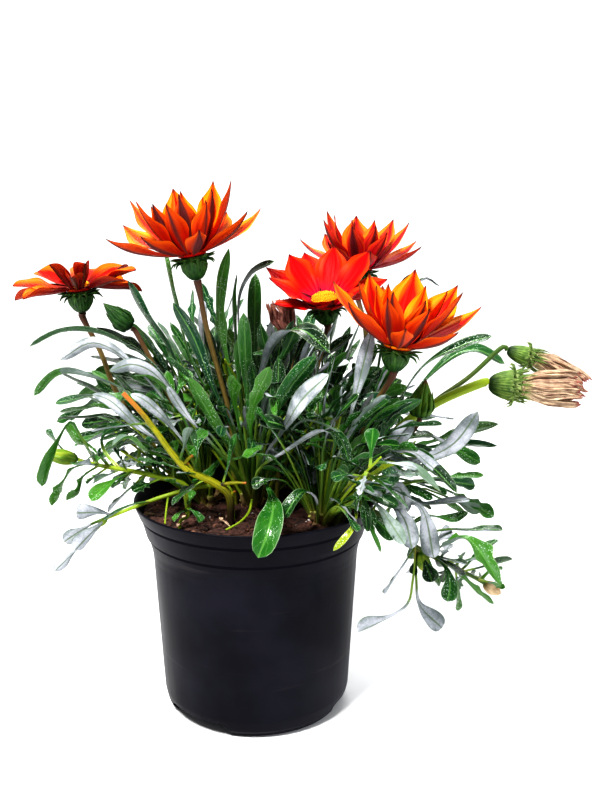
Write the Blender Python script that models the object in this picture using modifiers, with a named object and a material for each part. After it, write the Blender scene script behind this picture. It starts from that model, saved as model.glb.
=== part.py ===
"""A potted gazania: open blooms, withered heads, buds and leafy crowns in a black nursery pot.

Sizes are in millimetres until a mesh is made. +Z is up, +X is to the viewer's right, and the origin is
the middle of the pot's base. Stems, blooms and leaves that the photograph shows are placed by the
pixels that they pass (u, v) and by their depth behind (+) or in front (-) of the pot's axis. The other
leaves follow a seeded rule, and each is bent or left out until it is clear of its neighbours.
"""
import math
import random

import bmesh
import bpy
import numpy as np
from mathutils import Matrix, Vector

MM = 0.001
GAP = 0.3

# Pot: a 15 cm nursery pot, as (radius, height) down its inside and outside
POT_HEIGHT = 134.0
RIM_RADIUS = 75.0
POT_FLOOR = 11.5
POT_INSIDE = [(56.4, POT_FLOOR), (62.1, 102.0), (68.6, 123.5), (73.2, 133.2)]
POT_OUTSIDE = [(74.2, POT_HEIGHT), (RIM_RADIUS, 133.2), (71.6, 124.7), (70.7, 123.9), (67.6, 112.2),
               (66.4, 111.2), (64.3, 103.0), (63.6, 98.0), (58.7, 11.0), (57.2, 4.4), (53.6, 0.0)]
POT_SIDES = 28
CHANNEL_BEARINGS = [-129.5, -9.5, 110.5]
CHANNEL_SIZE = (48.0, 34.0, 8.0)
CHANNEL_START = 24.0
CHANNEL_ROUND = 5.0
DRAIN_RADIUS = 4.0
DRAIN_DISTANCE = 41.0

# Soil: its surface lies below the lip, with low lumps
SOIL_TOP = 127.0
SOIL_RINGS = [0.0, 20.0, 38.0, 54.0, 66.0]
SOIL_LUMP = 1.1
HOLE_DEPTH = 13.0
STEM_HOLE_SIDES = 6
CROWN_HOLE_SIDES = 9

# The viewpoint of the photograph, which turns its pixels into places
PHOTO_EYE = np.array([27.8, -600.0, 327.2])
PHOTO_PITCH = math.radians(12.5)
PHOTO_FOCAL = 1009.0
PHOTO_MIDDLE = (300.0, 400.0)

# Leaves
LEAF_THICK = 1.15
LEAF_FOLD = 0.22
LEAF_WIDEN = 1.12
PETIOLE = 1.1
LONG_STALK = 30.0
ROOTS = 30
GOLDEN_ANGLE = math.radians(137.5)
CLEAR = 2.5
STEM_SPARE = 0.9
LEAF_STEPS = 44
ROOT_SHARE = 0.3
SOIL_CLEAR = 2.6
LIP_CLEAR = 1.6
LIP_BAND = (69.0, 78.0)
LOWEST_LEAF = 25.0
NUDGES = [(0, 0), (-5, 0), (5, 0), (0, 4), (-10, 2), (10, 2), (-15, 4), (15, 4), (-21, 0), (21, 0), (-28, 6),
          (28, 6)]
FILL_TRIES = 40
SEED = 41

# Blooms: seat is the middle of the petals, lean is degrees to the right and towards the viewer, and
# each row of petals is (count, rise at the root, rise at the tip, length)
PETAL_WIDTH = 7.0
PETAL_THICK = 1.0
PETAL_FOLD = 0.14
PETAL_ROOT = 6.9
PETAL_SHARES = np.array([0.0, 0.32, 0.58, 0.82, 1.0])
PETAL_OUTLINE = np.array([0.17, 0.86, 1.0, 0.70, 0.0])
PLATE = (8.2, 1.8)
DISC_RADIUS = 6.2
FLORET_SPACING = 1.55
FLORET_RISE = 0.45
STEM_RADIUS = 1.7
STEM_SPACING = 21.0
STEM_END = 4.0
SPRAY_SPACING = 12.0
CUP_PROFILE = [(8.6, 0.0), (9.6, -2.2), (9.0, -8.0), (5.8, -12.2), (2.6, -14.0)]
CUP_SIDES = 9
CUP_TEETH = 6
TOOTH_WIDTHS = [1.5, 1.1, 0.0]
TOOTH_THICK = 0.9
TOOTH_ROOT = 1.6
TOOTH_CURL = 3.6
BLOOMS = {
    "bloom_top_left": {
        "seat": (192, 254, -10), "lean": (-10, 2), "spin": 6, "scale": 1.0,
        "rows": [(8, 8, 38, 49), (7, 38, 70, 46)],
        "stem": [(197, 292, -10), (207, 330, -8), (222, 385, -4), (232, 430, 0)], "root": (-13, 5)},
    "bloom_far_left": {
        "seat": (79, 288, 20), "lean": (-4, 6), "spin": 0, "scale": 0.92,
        "rows": [(7, -2, 18, 42), (7, 20, 42, 40)],
        "stem": [(88, 320, 20), (98, 345, 18), (118, 395, 16), (160, 455, 10)], "root": (-46, 12)},
    "bloom_red": {
        "seat": (325, 302, 6), "lean": (-6, 24), "spin": 12, "scale": 0.95,
        "rows": [(7, 10, 30, 42), (7, 26, 46, 40)],
        "stem": [(322, 352, 12), (316, 372, 10), (308, 430, 6)], "root": (27, 4)},
    "bloom_front": {
        "seat": (398, 345, -54), "lean": (9, 7), "spin": 3, "scale": 0.98,
        "rows": [(7, 18, 44, 48), (7, 42, 66, 45)],
        "stem": [(387, 376, -50), (379, 392, -47), (368, 418, -41), (358, 450, -33)], "root": (54, -25)},
    "bloom_back": {
        "seat": (360, 268, 76), "lean": (4, 2), "spin": 10, "scale": 0.95,
        "rows": [(7, 10, 38, 47), (7, 38, 66, 45)],
        "stem": [(363, 310, 64), (366, 350, 54), (362, 420, 36)], "root": (46, 14)},
}

# Withered heads lie on their sides: seat, the pixel that the axis points to, cup size and petals
WITHERED = {
    "withered_front": {
        "seat": (521, 386, -12), "aim": (578, 390, -16), "cup": (9.6, 19.0), "petals": 11, "length": 33,
        "spread": 9.0, "stem": [(470, 394, -10), (430, 405, -8), (396, 432, -8)], "root": (57, -2),
        "radius": 2.7},
    "withered_back": {
        "seat": (534, 359, 12), "aim": (588, 377, 9), "cup": (6.4, 17.0), "petals": 7, "length": 34,
        "spread": 4.5, "stem": [(486, 369, 14), (452, 386, 16), (410, 425, 16)], "root": (54, 22),
        "radius": 1.8},
    "dry_head": {
        "seat": (288, 332, 10), "aim": (280, 306, 10), "cup": (5.0, 7.0), "petals": 7, "length": 10,
        "spread": 6.5, "stem": [(290, 356, 8), (286, 400, -2)], "root": (13, -14), "radius": 1.4},
}

DRY_SHARES = np.array([0.0, 0.33, 0.70, 1.0])
DRY_WIDTHS = [1.2, 2.0, 1.7, 0.0]
DRY_THICK = 1.7

# Buds: base and tip of each, its greatest radius, and its stem
BUDS = {
    "bud_right": {"base": (419, 417, -24), "tip": (426, 379, -26), "radius": 7.2,
                  "stem": [(414, 430, -22), (396, 452, -18)], "root": (49, -8)},
    "bud_left": {"base": (131, 328, 12), "tip": (103, 303, 10), "radius": 6.0,
                 "stem": [(141, 344, 12), (152, 362, 12), (172, 402, 13), (196, 450, 15)], "root": (-34, 17)},
}

BUD_PROFILE = [(0.0, 1.0), (0.20, 0.91), (0.62, 0.66), (1.0, 0.30), (0.72, 0.08), (0.3, 0.0)]
BUD_RIBS = 8
RIB_DEPTH = 0.09

# Crowns that stand in the soil: middle and radius
CROWNS = {
    "crown_middle": ((-1.0, 2.0), 8.5),
    "crown_right": ((40.0, -31.0), 7.5),
    "crown_left": ((-30.0, 6.0), 6.5),
    "crown_back_left": ((-22.0, 40.0), 7.5),
    "crown_back_right": ((27.0, 38.0), 7.5),
}

# Stems that carry leaves of their own: path, radius at its two ends, and the hole they stand in
SPRAYS = {
    "spray_over_rim": {
        "path": [(226, 486, -18), (191, 489, -22), (150, 501, -26), (122, 512, -30), (107, 518, -32)],
        "radii": (1.9, 1.0), "root": (-13, -24)},
    "spray_low_left": {
        "path": [(192, 490, -14), (172, 482, -14), (148, 474, -14), (112, 468, -16), (78, 460, -18)],
        "radii": (2.0, 1.1), "root": (-40, -17)},
    "old_stem": {
        "path": [(226, 486, -37), (205, 480, -39), (180, 464, -42), (166, 444, -45), (146, 419, -47),
                 (136, 405, -48), (123, 393, -48)],
        "radii": (3.0, 1.6), "root": (-13, -37)},
    "spray_trailing": {
        "path": [(348, 507, -40), (361, 507, -42), (378, 514, -44), (396, 529, -48), (415, 546, -50),
                 (440, 560, -47), (468, 574, -42), (489, 586, -38)],
        "radii": (2.1, 1.0), "root": (50, -37)},
    "seedling": {
        "path": [(188, 516, -44), (186, 506, -44), (184, 494, -43)],
        "radii": (1.0, 0.7), "root": (-42, -42)},
}

# Small buds on the sprays: base, tip and radius of each
SMALL_BUDS = {
    "spray_low_left": [((78, 460, -18), (38, 452, -22), 5.6)],
    "spray_trailing": [((421, 552, -51), (425, 576, -54), 4.4), ((484, 583, -39), (504, 596, -36), 4.6)],
    "spray_over_rim": [((107, 518, -32), (96, 528, -30), 2.4)],
}

# Leaves seen in the photograph: what they grow from, the places they pass, half width, the turn of
# the blade about its midrib at root and tip, the bare share of their length, and their outline
LEAVES = [
    ("crown_middle", [(258, 478, -24), (270, 492, -44), (273, 508, -66), (268, 532, -82), (258, 558, -86)],
     6.4, (0, 10), 0.42, "spoon"),
    ("crown_middle", [(251, 440, -10), (258, 388, -18), (274, 344, -26), (300, 330, -34), (330, 353, -42)],
     7.6, (-30, 25), 0.45, "spoon"),
    ("crown_middle", [(250, 440, 2), (256, 385, -2), (250, 352, -6)], 4.2, (20, 60), 0.6, "spoon"),
    ("crown_middle", [(256, 430, 8), (268, 372, 4), (260, 325, 0)], 4.4, (10, 50), 0.55, "spoon"),
    ("crown_middle", [(262, 440, -20), (276, 398, -26), (279, 358, -30)], 4.6, (0, -50), 0.45, "spoon"),
    ("crown_middle", [(264, 440, -26), (284, 396, -36), (316, 356, -46)], 4.6, (0, -40), 0.4, "spoon"),
    ("crown_middle", [(264, 460, -18), (282, 432, -26), (302, 400, -34), (328, 375, -38)], 5.4, (60, 95),
     0.35, "spoon"),
    ("crown_middle", [(240, 420, 4), (221, 330, 4), (221, 285, 4), (229, 248, 2)], 4.4, (30, 50), 0.35,
     "toothed"),
    ("crown_middle", [(243, 410, 12), (233, 310, 14), (237, 273, 14)], 2.6, (20, 40), 0.45, "spoon"),
    ("crown_middle", [(247, 400, 20), (239, 315, 24), (250, 278, 24), (275, 263, 20)], 3.8, (-40, 30), 0.6,
     "spoon"),
    ("crown_middle", [(240, 462, -14), (218, 428, -22), (203, 402, -26), (189, 377, -30)], 4.0, (30, 30),
     0.2, "spoon"),
    ("crown_middle", [(236, 474, -20), (210, 442, -30), (184, 412, -34), (167, 386, -38)], 4.6, (40, 80),
     0.62, "spoon"),
    ("crown_middle", [(258, 472, -26), (284, 452, -44), (322, 431, -60), (340, 440, -64), (350, 466, -66)],
     4.6, (-60, 20), 0.45, "spoon"),
    ("crown_middle", [(226, 430, 6), (190, 372, 6), (170, 310, 6), (158, 262, 4)], 4.8, (40, 60), 0.45,
     "spoon"),
    ("crown_middle", [(236, 440, -4), (214, 388, -4), (196, 340, -2), (176, 306, 0)], 5.6, (50, 85), 0.4,
     "spoon"),
    ("crown_left", [(200, 450, 0), (160, 372, -4), (112, 338, -6), (66, 331, -8), (29, 347, -10)], 4.4,
     (0, 10), 0.45, "spoon"),
    ("crown_left", [(190, 440, 6), (140, 372, 6), (96, 343, 6), (60, 360, 6)], 5.2, (40, 100), 0.5, "spoon"),
    ("crown_left", [(186, 450, -8), (130, 394, -14), (88, 376, -20), (58, 374, -24), (34, 396, -26)], 3.8,
     (0, 15), 0.6, "spoon"),
    ("crown_left", [(196, 440, 2), (168, 385, 0), (142, 366, -2), (118, 372, -2)], 5.0, (60, 120), 0.45,
     "spoon"),
    ("crown_left", [(194, 446, -16), (172, 398, -26), (150, 378, -30), (132, 376, -32)], 5.0, (0, 0), 0.5,
     "spoon"),
    ("crown_left", [(192, 456, -22), (166, 420, -32), (144, 400, -36), (130, 394, -36)], 4.8, (60, 110),
     0.55, "spoon"),
    ("crown_left", [(206, 430, 8), (170, 352, 12), (146, 318, 12), (126, 281, 12)], 5.4, (30, 50), 0.45,
     "spoon"),
    ("crown_left", [(184, 460, -18), (140, 428, -28), (112, 402, -30), (92, 394, -30)], 5.0, (50, 100), 0.5,
     "spoon"),
    ("crown_left", [(182, 466, -12), (146, 452, -24), (128, 438, -28), (112, 446, -32)], 6.2, (0, 0), 0.4,
     "spoon"),
    ("crown_left", [(176, 470, -8), (118, 420, -16), (84, 418, -20), (57, 418, -24)], 3.4, (0, 20), 0.45,
     "toothed"),
    ("spray_low_left", [(96, 464, -17), (80, 434, -22), (68, 424, -26), (44, 484, -34)], 5.8, (0, 20), 0.35,
     "spoon"),
    ("spray_low_left", [(90, 463, -17), (74, 468, -24), (62, 484, -28), (51, 506, -32)], 6.4, (10, 10), 0.2,
     "lobed"),
    ("spray_low_left", [(108, 467, -15), (92, 448, -12), (76, 440, -10), (66, 424, -8)], 4.6, (40, 90), 0.3,
     "spoon"),
    ("spray_low_left", [(100, 466, -16), (84, 476, -20), (78, 492, -22), (66, 500, -24)], 5.0, (0, 0), 0.3,
     "lobed"),
    ("spray_low_left", [(84, 462, -18), (66, 452, -14), (54, 440, -12), (46, 430, -10)], 3.8, (20, 20), 0.4,
     "spoon"),
    ("spray_low_left", [(120, 468, -14), (104, 450, -8), (104, 434, -6), (124, 421, -4)], 3.0, (0, 30), 0.5,
     "spoon"),
    ("spray_over_rim", [(112, 516, -31), (98, 512, -36), (76, 513, -40)], 5.0, (60, 75), 0.15, "spoon"),
    ("spray_over_rim", [(109, 517, -31), (94, 530, -34), (75, 550, -38)], 5.2, (60, 70), 0.1, "spoon"),
    ("spray_over_rim", [(108, 518, -31), (88, 526, -26), (64, 542, -26)], 4.0, (60, 80), 0.4, "spoon"),
    ("spray_over_rim", [(108, 518, -32), (86, 540, -30), (55, 571, -32)], 3.0, (60, 80), 0.55, "spoon"),
    ("spray_over_rim", [(150, 501, -26), (128, 506, -34), (104, 520, -42)], 3.2, (0, 20), 0.3, "spoon"),
    ("crown_right", [(335, 480, -50), (372, 462, -58), (390, 476, -62), (366, 488, -68)], 5.0, (0, 0), 0.45,
     "spoon"),
    ("crown_right", [(346, 480, -36), (380, 458, -40), (414, 420, -42)], 4.8, (50, 95), 0.4, "spoon"),
    ("crown_right", [(340, 470, -46), (354, 452, -50), (366, 434, -52)], 3.4, (60, 90), 0.4, "spoon"),
    ("crown_right", [(352, 480, -28), (410, 458, -30), (448, 438, -32), (472, 403, -34)], 5.6, (60, 100),
     0.45, "spoon"),
    ("crown_back_right", [(376, 450, 28), (418, 446, 20), (462, 432, 12), (499, 424, 6)], 4.0, (0, 0), 0.5,
     "toothed"),
    ("crown_back_right", [(376, 458, 30), (414, 452, 28), (454, 444, 22), (498, 446, 14)], 4.4, (0, 0), 0.5,
     "lobed"),
    ("crown_right", [(346, 486, -44), (402, 452, -52), (430, 466, -56), (457, 493, -60)], 4.4, (30, 10),
     0.5, "spoon"),
    ("crown_right", [(342, 490, -50), (376, 470, -64), (402, 462, -74), (434, 487, -80)], 4.8, (0, 0), 0.3,
     "lobed"),
    ("crown_right", [(336, 470, -40), (350, 420, -40), (362, 374, -38), (372, 333, -36)], 5.4, (40, 90),
     0.5, "spoon"),
    ("crown_right", [(344, 460, -26), (372, 400, -20), (400, 352, -12), (420, 318, -8)], 4.6, (20, 60), 0.5,
     "spoon"),
    ("crown_back_right", [(372, 440, 26), (420, 370, 22), (462, 346, 18), (492, 336, 16)], 4.4, (0, 0), 0.6,
     "spoon"),
    ("crown_back_right", [(374, 440, 30), (430, 376, 30), (470, 350, 30), (505, 364, 30)], 4.8, (0, 0), 0.5,
     "spoon"),
    ("crown_back_right", [(362, 430, 44), (384, 340, 62), (402, 296, 66), (415, 273, 64)], 4.6, (20, 50),
     0.6, "spoon"),
    ("crown_back_right", [(364, 430, 40), (396, 340, 44), (420, 282, 44), (441, 287, 40)], 3.4, (0, 0), 0.6,
     "spoon"),
    ("spray_trailing", [(372, 514, -50), (384, 494, -54), (400, 488, -58), (408, 512, -62)], 4.2, (50, 90),
     0.3, "spoon"),
    ("spray_trailing", [(393, 528, -52), (408, 504, -56), (424, 512, -60), (434, 558, -66)], 5.4, (60, 90),
     0.35, "spoon"),
    ("spray_trailing", [(380, 519, -50), (402, 500, -44), (430, 504, -40), (470, 500, -38)], 4.4, (10, 10),
     0.4, "spoon"),
    ("spray_trailing", [(400, 533, -52), (424, 516, -46), (452, 520, -42), (468, 512, -40)], 4.6, (0, 10),
     0.35, "spoon"),
    ("spray_trailing", [(410, 541, -52), (440, 526, -46), (470, 522, -42), (496, 518, -40)], 4.2, (0, 0),
     0.5, "spoon"),
    ("spray_trailing", [(384, 522, -50), (392, 506, -58), (404, 520, -66), (410, 546, -70)], 4.6, (20, 20),
     0.3, "spoon"),
    ("spray_trailing", [(428, 553, -50), (446, 540, -54), (466, 532, -56), (494, 572, -58)], 7.0, (0, 10),
     0.15, "lobed"),
    ("spray_trailing", [(444, 562, -47), (462, 576, -52), (476, 590, -54), (494, 604, -54)], 4.6, (0, 10),
     0.15, "lobed"),
    ("spray_trailing", [(436, 557, -48), (446, 568, -54), (449, 582, -56), (446, 598, -58)], 4.2, (10, 10),
     0.2, "spoon"),
    ("spray_trailing", [(462, 572, -44), (474, 558, -42), (486, 548, -40), (498, 540, -38)], 3.8, (0, 0),
     0.2, "toothed"),
    ("spray_trailing", [(416, 546, -52), (408, 558, -56), (396, 576, -60), (384, 594, -62)], 4.4, (30, 60),
     0.3, "spoon"),
    ("spray_trailing", [(416, 546, -52), (413, 580, -56), (404, 608, -58), (358, 632, -60)], 6.2, (30, 60),
     0.5, "spoon"),
    ("spray_trailing", [(417, 547, -51), (416, 580, -48), (420, 606, -46), (442, 628, -46)], 4.8, (40, 80),
     0.5, "spoon"),
    ("spray_trailing", [(352, 510, -48), (356, 520, -66), (350, 532, -84), (333, 551, -86)], 3.0, (0, 0),
     0.3, "spoon"),
    ("seedling", [(187, 511, -44), (180, 514, -50), (172, 524, -54)], 2.6, (0, 0), 0.25, "spoon"),
    ("seedling", [(186, 508, -44), (194, 512, -50), (202, 522, -52)], 2.6, (0, 0), 0.25, "spoon"),
    ("seedling", [(186, 506, -44), (190, 500, -40), (193, 490, -38)], 2.0, (0, 30), 0.25, "spoon"),
    ("crown_right", [(316, 500, -46), (304, 492, -52), (294, 502, -58), (284, 518, -60)], 4.4, (0, 0), 0.35,
     "spoon"),
]

# Rule for the leaves that the photograph hides: crown, count, bearings, lean from upright, length
FILL = [
    ("crown_middle", 5, (20, 340), (6, 34), (100, 150)),
    ("crown_right", 5, (-70, 80), (18, 62), (78, 120)),
    ("crown_left", 3, (110, 250), (18, 60), (85, 125)),
    ("crown_back_left", 8, (60, 225), (12, 56), (80, 122)),
    ("crown_back_right", 7, (-40, 125), (12, 56), (80, 122)),
]

# Outlines as (share of the blade past the bare part, share of the half width)
OUTLINES = {
    "spoon": [(0.42, 0.94), (0.80, 0.84)],
    "toothed": [(0.24, 0.85), (0.44, 0.60), (0.72, 1.0)],
    "lobed": [(0.20, 0.95), (0.38, 0.48), (0.60, 1.0), (0.80, 0.52)],
}

COLOURS = {
    "pot": ((0.018, 0.018, 0.022), 0.42), "soil": ((0.09, 0.045, 0.03), 0.95),
    "leaf": ((0.045, 0.22, 0.03), 0.35), "stem": ((0.30, 0.20, 0.06), 0.5),
    "green_stem": ((0.38, 0.48, 0.06), 0.45), "cup": ((0.03, 0.11, 0.02), 0.5),
    "petal": ((0.85, 0.12, 0.01), 0.45), "red_petal": ((0.80, 0.02, 0.01), 0.45),
    "disc": ((0.85, 0.42, 0.02), 0.7), "dry_petal": ((0.55, 0.30, 0.22), 0.8),
    "dry_brown": ((0.20, 0.08, 0.05), 0.85), "bud": ((0.16, 0.32, 0.04), 0.5),
}

TAKEN = []
HOLES = []


def seen(u, v, depth):
    """Place, in millimetres, that the photograph shows at a pixel, at a depth from the pot's axis."""
    right = (u - PHOTO_MIDDLE[0]) / PHOTO_FOCAL
    rise = (PHOTO_MIDDLE[1] - v) / PHOTO_FOCAL
    ray = np.array([right, math.cos(PHOTO_PITCH) + rise * math.sin(PHOTO_PITCH),
                    rise * math.cos(PHOTO_PITCH) - math.sin(PHOTO_PITCH)])
    return PHOTO_EYE + ray * (depth - PHOTO_EYE[1]) / ray[1]


def unit(vectors):
    """Vectors scaled to length 1."""
    return vectors / np.linalg.norm(vectors, axis=-1, keepdims=True)


def smooth(points, shares):
    """Catmull-Rom curve through the points, read at shares (0 to 1) of its length."""
    points = np.array(points, float)
    held = np.vstack([2 * points[0] - points[1], points, 2 * points[-1] - points[-2]])
    step = np.linspace(0, 1, 17)[:-1, None]
    runs = []
    for i in range(len(points) - 1):
        a, b, c, d = held[i:i + 4]
        runs.append(0.5 * (2 * b + (c - a) * step + (2 * a - 5 * b + 4 * c - d) * step ** 2
                           + (3 * b - a - 3 * c + d) * step ** 3))
    curve = np.vstack(runs + [points[-1:]])
    length = np.concatenate([[0], np.cumsum(np.linalg.norm(np.diff(curve, axis=0), axis=1))])
    return np.stack([np.interp(np.array(shares) * length[-1], length, curve[:, k]) for k in range(3)], 1)


def frames(spine, plan, up, turns):
    """Side and face directions along a spine: the face looks up where the spine runs along plan."""
    along = unit(np.gradient(spine, axis=0))
    across = unit(np.cross(up, plan))
    side = unit(across - along * (along @ across)[:, None])
    face = np.cross(along, side)
    turn = np.radians(np.linspace(turns[0], turns[1], len(spine)))[:, None]
    return side * np.cos(turn) + face * np.sin(turn), face * np.cos(turn) - side * np.sin(turn)


def material(name):
    """The named plain material, made once."""
    found = bpy.data.materials.get(name)
    if found:
        return found
    colour, rough = COLOURS[name]
    made = bpy.data.materials.new(name)
    made.use_nodes = True
    shader = made.node_tree.nodes["Principled BSDF"]
    shader.inputs["Base Color"].default_value = (*colour, 1.0)
    shader.inputs["Roughness"].default_value = rough
    return made


def add_mesh(name, verts, faces, collection):
    """Mesh object from points in millimetres."""
    mesh = bpy.data.meshes.new(name)
    mesh.from_pydata([tuple(p) for p in np.array(verts) * MM], [], faces)
    made = bpy.data.objects.new(name, mesh)
    collection.objects.link(made)
    return made


def blade(spine, widths, thick, side, face, fold):
    """Closed blade with a four-sided section, split into triangles alike on both faces.

    The last width is 0, which draws the blade to a point.
    """
    count = len(spine) - 1
    rings = []
    for i in range(count):
        edge = face[i] * widths[i] * fold
        rings += [spine[i] + side[i] * widths[i] + edge, spine[i] + face[i] * thick / 2,
                  spine[i] - side[i] * widths[i] + edge, spine[i] - face[i] * thick / 2]
    faces = [(3, 2, 1, 0)]
    for i in range(count - 1):
        for k in range(4):
            a, b = 4 * i + k, 4 * i + (k + 1) % 4
            d, c = a + 4, b + 4
            faces += [(a, b, c), (a, c, d)] if k % 2 == 0 else [(a, b, d), (b, c, d)]
    last = 4 * (count - 1)
    faces += [(last + k, last + (k + 1) % 4, 4 * count) for k in range(4)]
    return rings + [spine[-1]], faces


def turned(name, profile, sides, collection):
    """Turned solid: the profile runs from the axis at the top, down the outside, to the axis."""
    mesh = bpy.data.meshes.new(name)
    verts = [(r * MM, 0, z * MM) for r, z in profile]
    mesh.from_pydata(verts, [(i, i + 1) for i in range(len(verts) - 1)], [])
    made = bpy.data.objects.new(name, mesh)
    collection.objects.link(made)
    screw = made.modifiers.new("turn", "SCREW")
    screw.steps = sides
    screw.render_steps = sides
    screw.use_merge_vertices = True
    screw.merge_threshold = 0.00001
    return made


def bake(made):
    """Replaces an object's modifiers, or its curve, by the mesh they give, and returns the object."""
    graph = bpy.context.evaluated_depsgraph_get()
    mesh = bpy.data.meshes.new_from_object(made.evaluated_get(graph))
    if made.type == "MESH":
        made.modifiers.clear()
        made.data = mesh
        return made
    baked = bpy.data.objects.new(made.name, mesh)
    made.users_collection[0].objects.link(baked)
    name = made.name
    bpy.data.objects.remove(made)
    baked.name = name
    work = bmesh.new()
    work.from_mesh(mesh)
    bmesh.ops.remove_doubles(work, verts=work.verts, dist=0.000001)
    work.to_mesh(mesh)
    work.free()
    return baked


def tube(name, spine, radii, collection):
    """Round stem along a spine, with its radius at each end, as a mesh."""
    curve = bpy.data.curves.new(name, "CURVE")
    curve.dimensions = "3D"
    curve.bevel_depth = MM
    curve.bevel_resolution = 2
    curve.use_fill_caps = True
    line = curve.splines.new("POLY")
    line.points.add(len(spine) - 1)
    for point, place, radius in zip(line.points, spine, np.linspace(radii[0], radii[1], len(spine))):
        point.co = (*(place * MM), 1)
        point.radius = radius
    made = bpy.data.objects.new(name, curve)
    collection.objects.link(made)
    return bake(made)


def join(base, pieces):
    """Fuses the pieces into the base by one Boolean union on a collection, then removes them."""
    shelf = bpy.data.collections.new(base.name + "_pieces")
    bpy.context.scene.collection.children.link(shelf)
    for piece in pieces:
        for held in piece.users_collection:
            held.objects.unlink(piece)
        shelf.objects.link(piece)
    union = base.modifiers.new("join", "BOOLEAN")
    union.operation = "UNION"
    union.operand_type = "COLLECTION"
    union.collection = shelf
    union.solver = "EXACT"
    bake(base)
    for piece in pieces:
        bpy.data.objects.remove(piece)
    bpy.data.collections.remove(shelf)
    return base


def finish(made, colour, smooth_angle=35):
    """Gives a sub-part its material and its smooth shading."""
    made.data.materials.clear()
    made.data.materials.append(material(colour))
    for face in made.data.polygons:
        face.use_smooth = True
        face.material_index = 0
    made.data.set_sharp_from_angle(angle=math.radians(smooth_angle))


def take(owner, samples, reach, root_count=0):
    """Remembers the room that a piece fills: points, and how far round each it reaches."""
    TAKEN.append((owner, samples, reach, samples.min(0), samples.max(0), root_count))


def is_free(owner, samples, root_count):
    """Whether a blade keeps clear of all others, and past its root of its own crown's too."""
    low, high = samples.min(0), samples.max(0)
    for other, theirs, reach, their_low, their_high, their_root in TAKEN:
        need = reach + CLEAR
        if np.any(low > their_high + need) or np.any(high < their_low - need):
            continue
        mine = samples
        if other == owner:
            mine, theirs = samples[root_count:], theirs[their_root:]
        near = theirs[np.all((theirs > low - need) & (theirs < high + need), axis=1)]
        if len(near) == 0:
            continue
        apart = np.linalg.norm(mine[:, None] - near[None], axis=2).min()
        if apart < need:
            return False
    return True


def is_over_pot(samples, root_count):
    """Whether a blade past its root keeps off the soil, the lip, the pot's wall and the floor."""
    past = samples[root_count:]
    away = np.hypot(past[:, 0], past[:, 1])
    low_inside = (away < LIP_BAND[0]) & (past[:, 2] < SOIL_TOP + SOIL_CLEAR)
    on_lip = (away >= LIP_BAND[0]) & (away < LIP_BAND[1]) & (past[:, 2] < POT_HEIGHT + LIP_CLEAR)
    return not np.any(low_inside | on_lip | (past[:, 2] < LOWEST_LEAF))


def leaf_samples(spine_points, half_width, bare, turns, plan):
    """Points spread over a leaf, a few millimetres apart, and how many belong to its root."""
    share = np.linspace(0, 1, LEAF_STEPS)
    spine = smooth(spine_points, share)
    side, _ = frames(spine, plan, np.array([0, 0, 1.0]), turns)
    swell = np.clip((share - bare) / (0.45 * (1 - bare)), 0, 1) * np.clip((1 - share) / 0.12, 0, 1)
    wide = PETIOLE + (half_width - PETIOLE) * swell
    across = np.linspace(-1, 1, 7)
    samples = spine[:, None] + side[:, None] * (wide[:, None] * across)[:, :, None]
    return samples.reshape(-1, 3), int(LEAF_STEPS * ROOT_SHARE) * len(across)


def leaf_mesh(name, spine_points, half_width, bare, turns, plan, outline, collection):
    """Leaf: a bare stalk that widens to the outline's blade and ends in a point."""
    shares = [0.0, bare] + [bare + s * (1 - bare) for s, _ in OUTLINES[outline]] + [1.0]
    widths = [PETIOLE * 0.8, PETIOLE] + [half_width * w for _, w in OUTLINES[outline]] + [0.0]
    if bare * np.linalg.norm(spine_points[-1] - spine_points[0]) > LONG_STALK:
        shares.insert(1, bare * 0.5)
        widths.insert(1, PETIOLE)
    spine = smooth(spine_points, shares)
    side, face = frames(spine, plan, np.array([0, 0, 1.0]), turns)
    verts, faces = blade(spine, widths, LEAF_THICK, side, face, LEAF_FOLD)
    return add_mesh(name, verts, faces, collection)


def leaf_plan(points):
    """Level direction in which a leaf runs from root to tip."""
    run = points[-1] - points[0]
    return unit(np.array([run[0], run[1] if abs(run[1]) + abs(run[0]) > 1 else 1.0, 0.0]))


def open_roots(name):
    """Places on a crown's dome for leaf stalks, spread as seeds are in a sunflower."""
    (x, y), radius = CROWNS[name]
    number = np.arange(ROOTS)
    away = radius * 0.80 * np.sqrt((number + 0.5) / ROOTS)
    turn = number * GOLDEN_ANGLE
    return [np.array([x + a * math.cos(t), y + a * math.sin(t), SOIL_TOP - 0.5]) for a, t in zip(away, turn)]


def crown_root(owner, aim, roots):
    """The open place on a crown's dome that lies nearest to the side where the leaf goes."""
    (x, y), radius = CROWNS[owner]
    run = np.array([aim[0] - x, aim[1] - y])
    wanted = np.array([x, y]) + run / max(np.linalg.norm(run), 40.0) * radius
    return min(roots[owner], key=lambda place: np.linalg.norm(place[:2] - wanted))


def seen_leaf(leaf, stems, roots):
    """Path of a leaf from the photograph, bent in depth until it is clear, or None."""
    owner, pixels, half_width, turns, bare, outline = leaf
    half_width *= LEAF_WIDEN
    places = np.array([seen(*p) for p in pixels])
    if owner in CROWNS:
        root = crown_root(owner, places[len(places) // 2], roots)
        base = np.vstack([root, places])
    else:
        spine = stems[owner]
        root = spine[np.linalg.norm(spine - places[0], axis=1).argmin()]
        base = np.vstack([root, places[1:]])
    share = np.linspace(0, 1, len(base))[:, None]
    for deeper, higher in NUDGES:
        path = base + share * np.array([0.0, deeper, higher])
        plan = leaf_plan(path)
        samples, rooted = leaf_samples(path, half_width, bare, turns, plan)
        if is_over_pot(samples, rooted) and is_free(owner, samples, rooted):
            take(owner, samples, 0.0, rooted)
            roots[owner] = [place for place in roots.get(owner, []) if place is not root]
            return path, half_width, bare, turns, plan, outline
    return None


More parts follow.
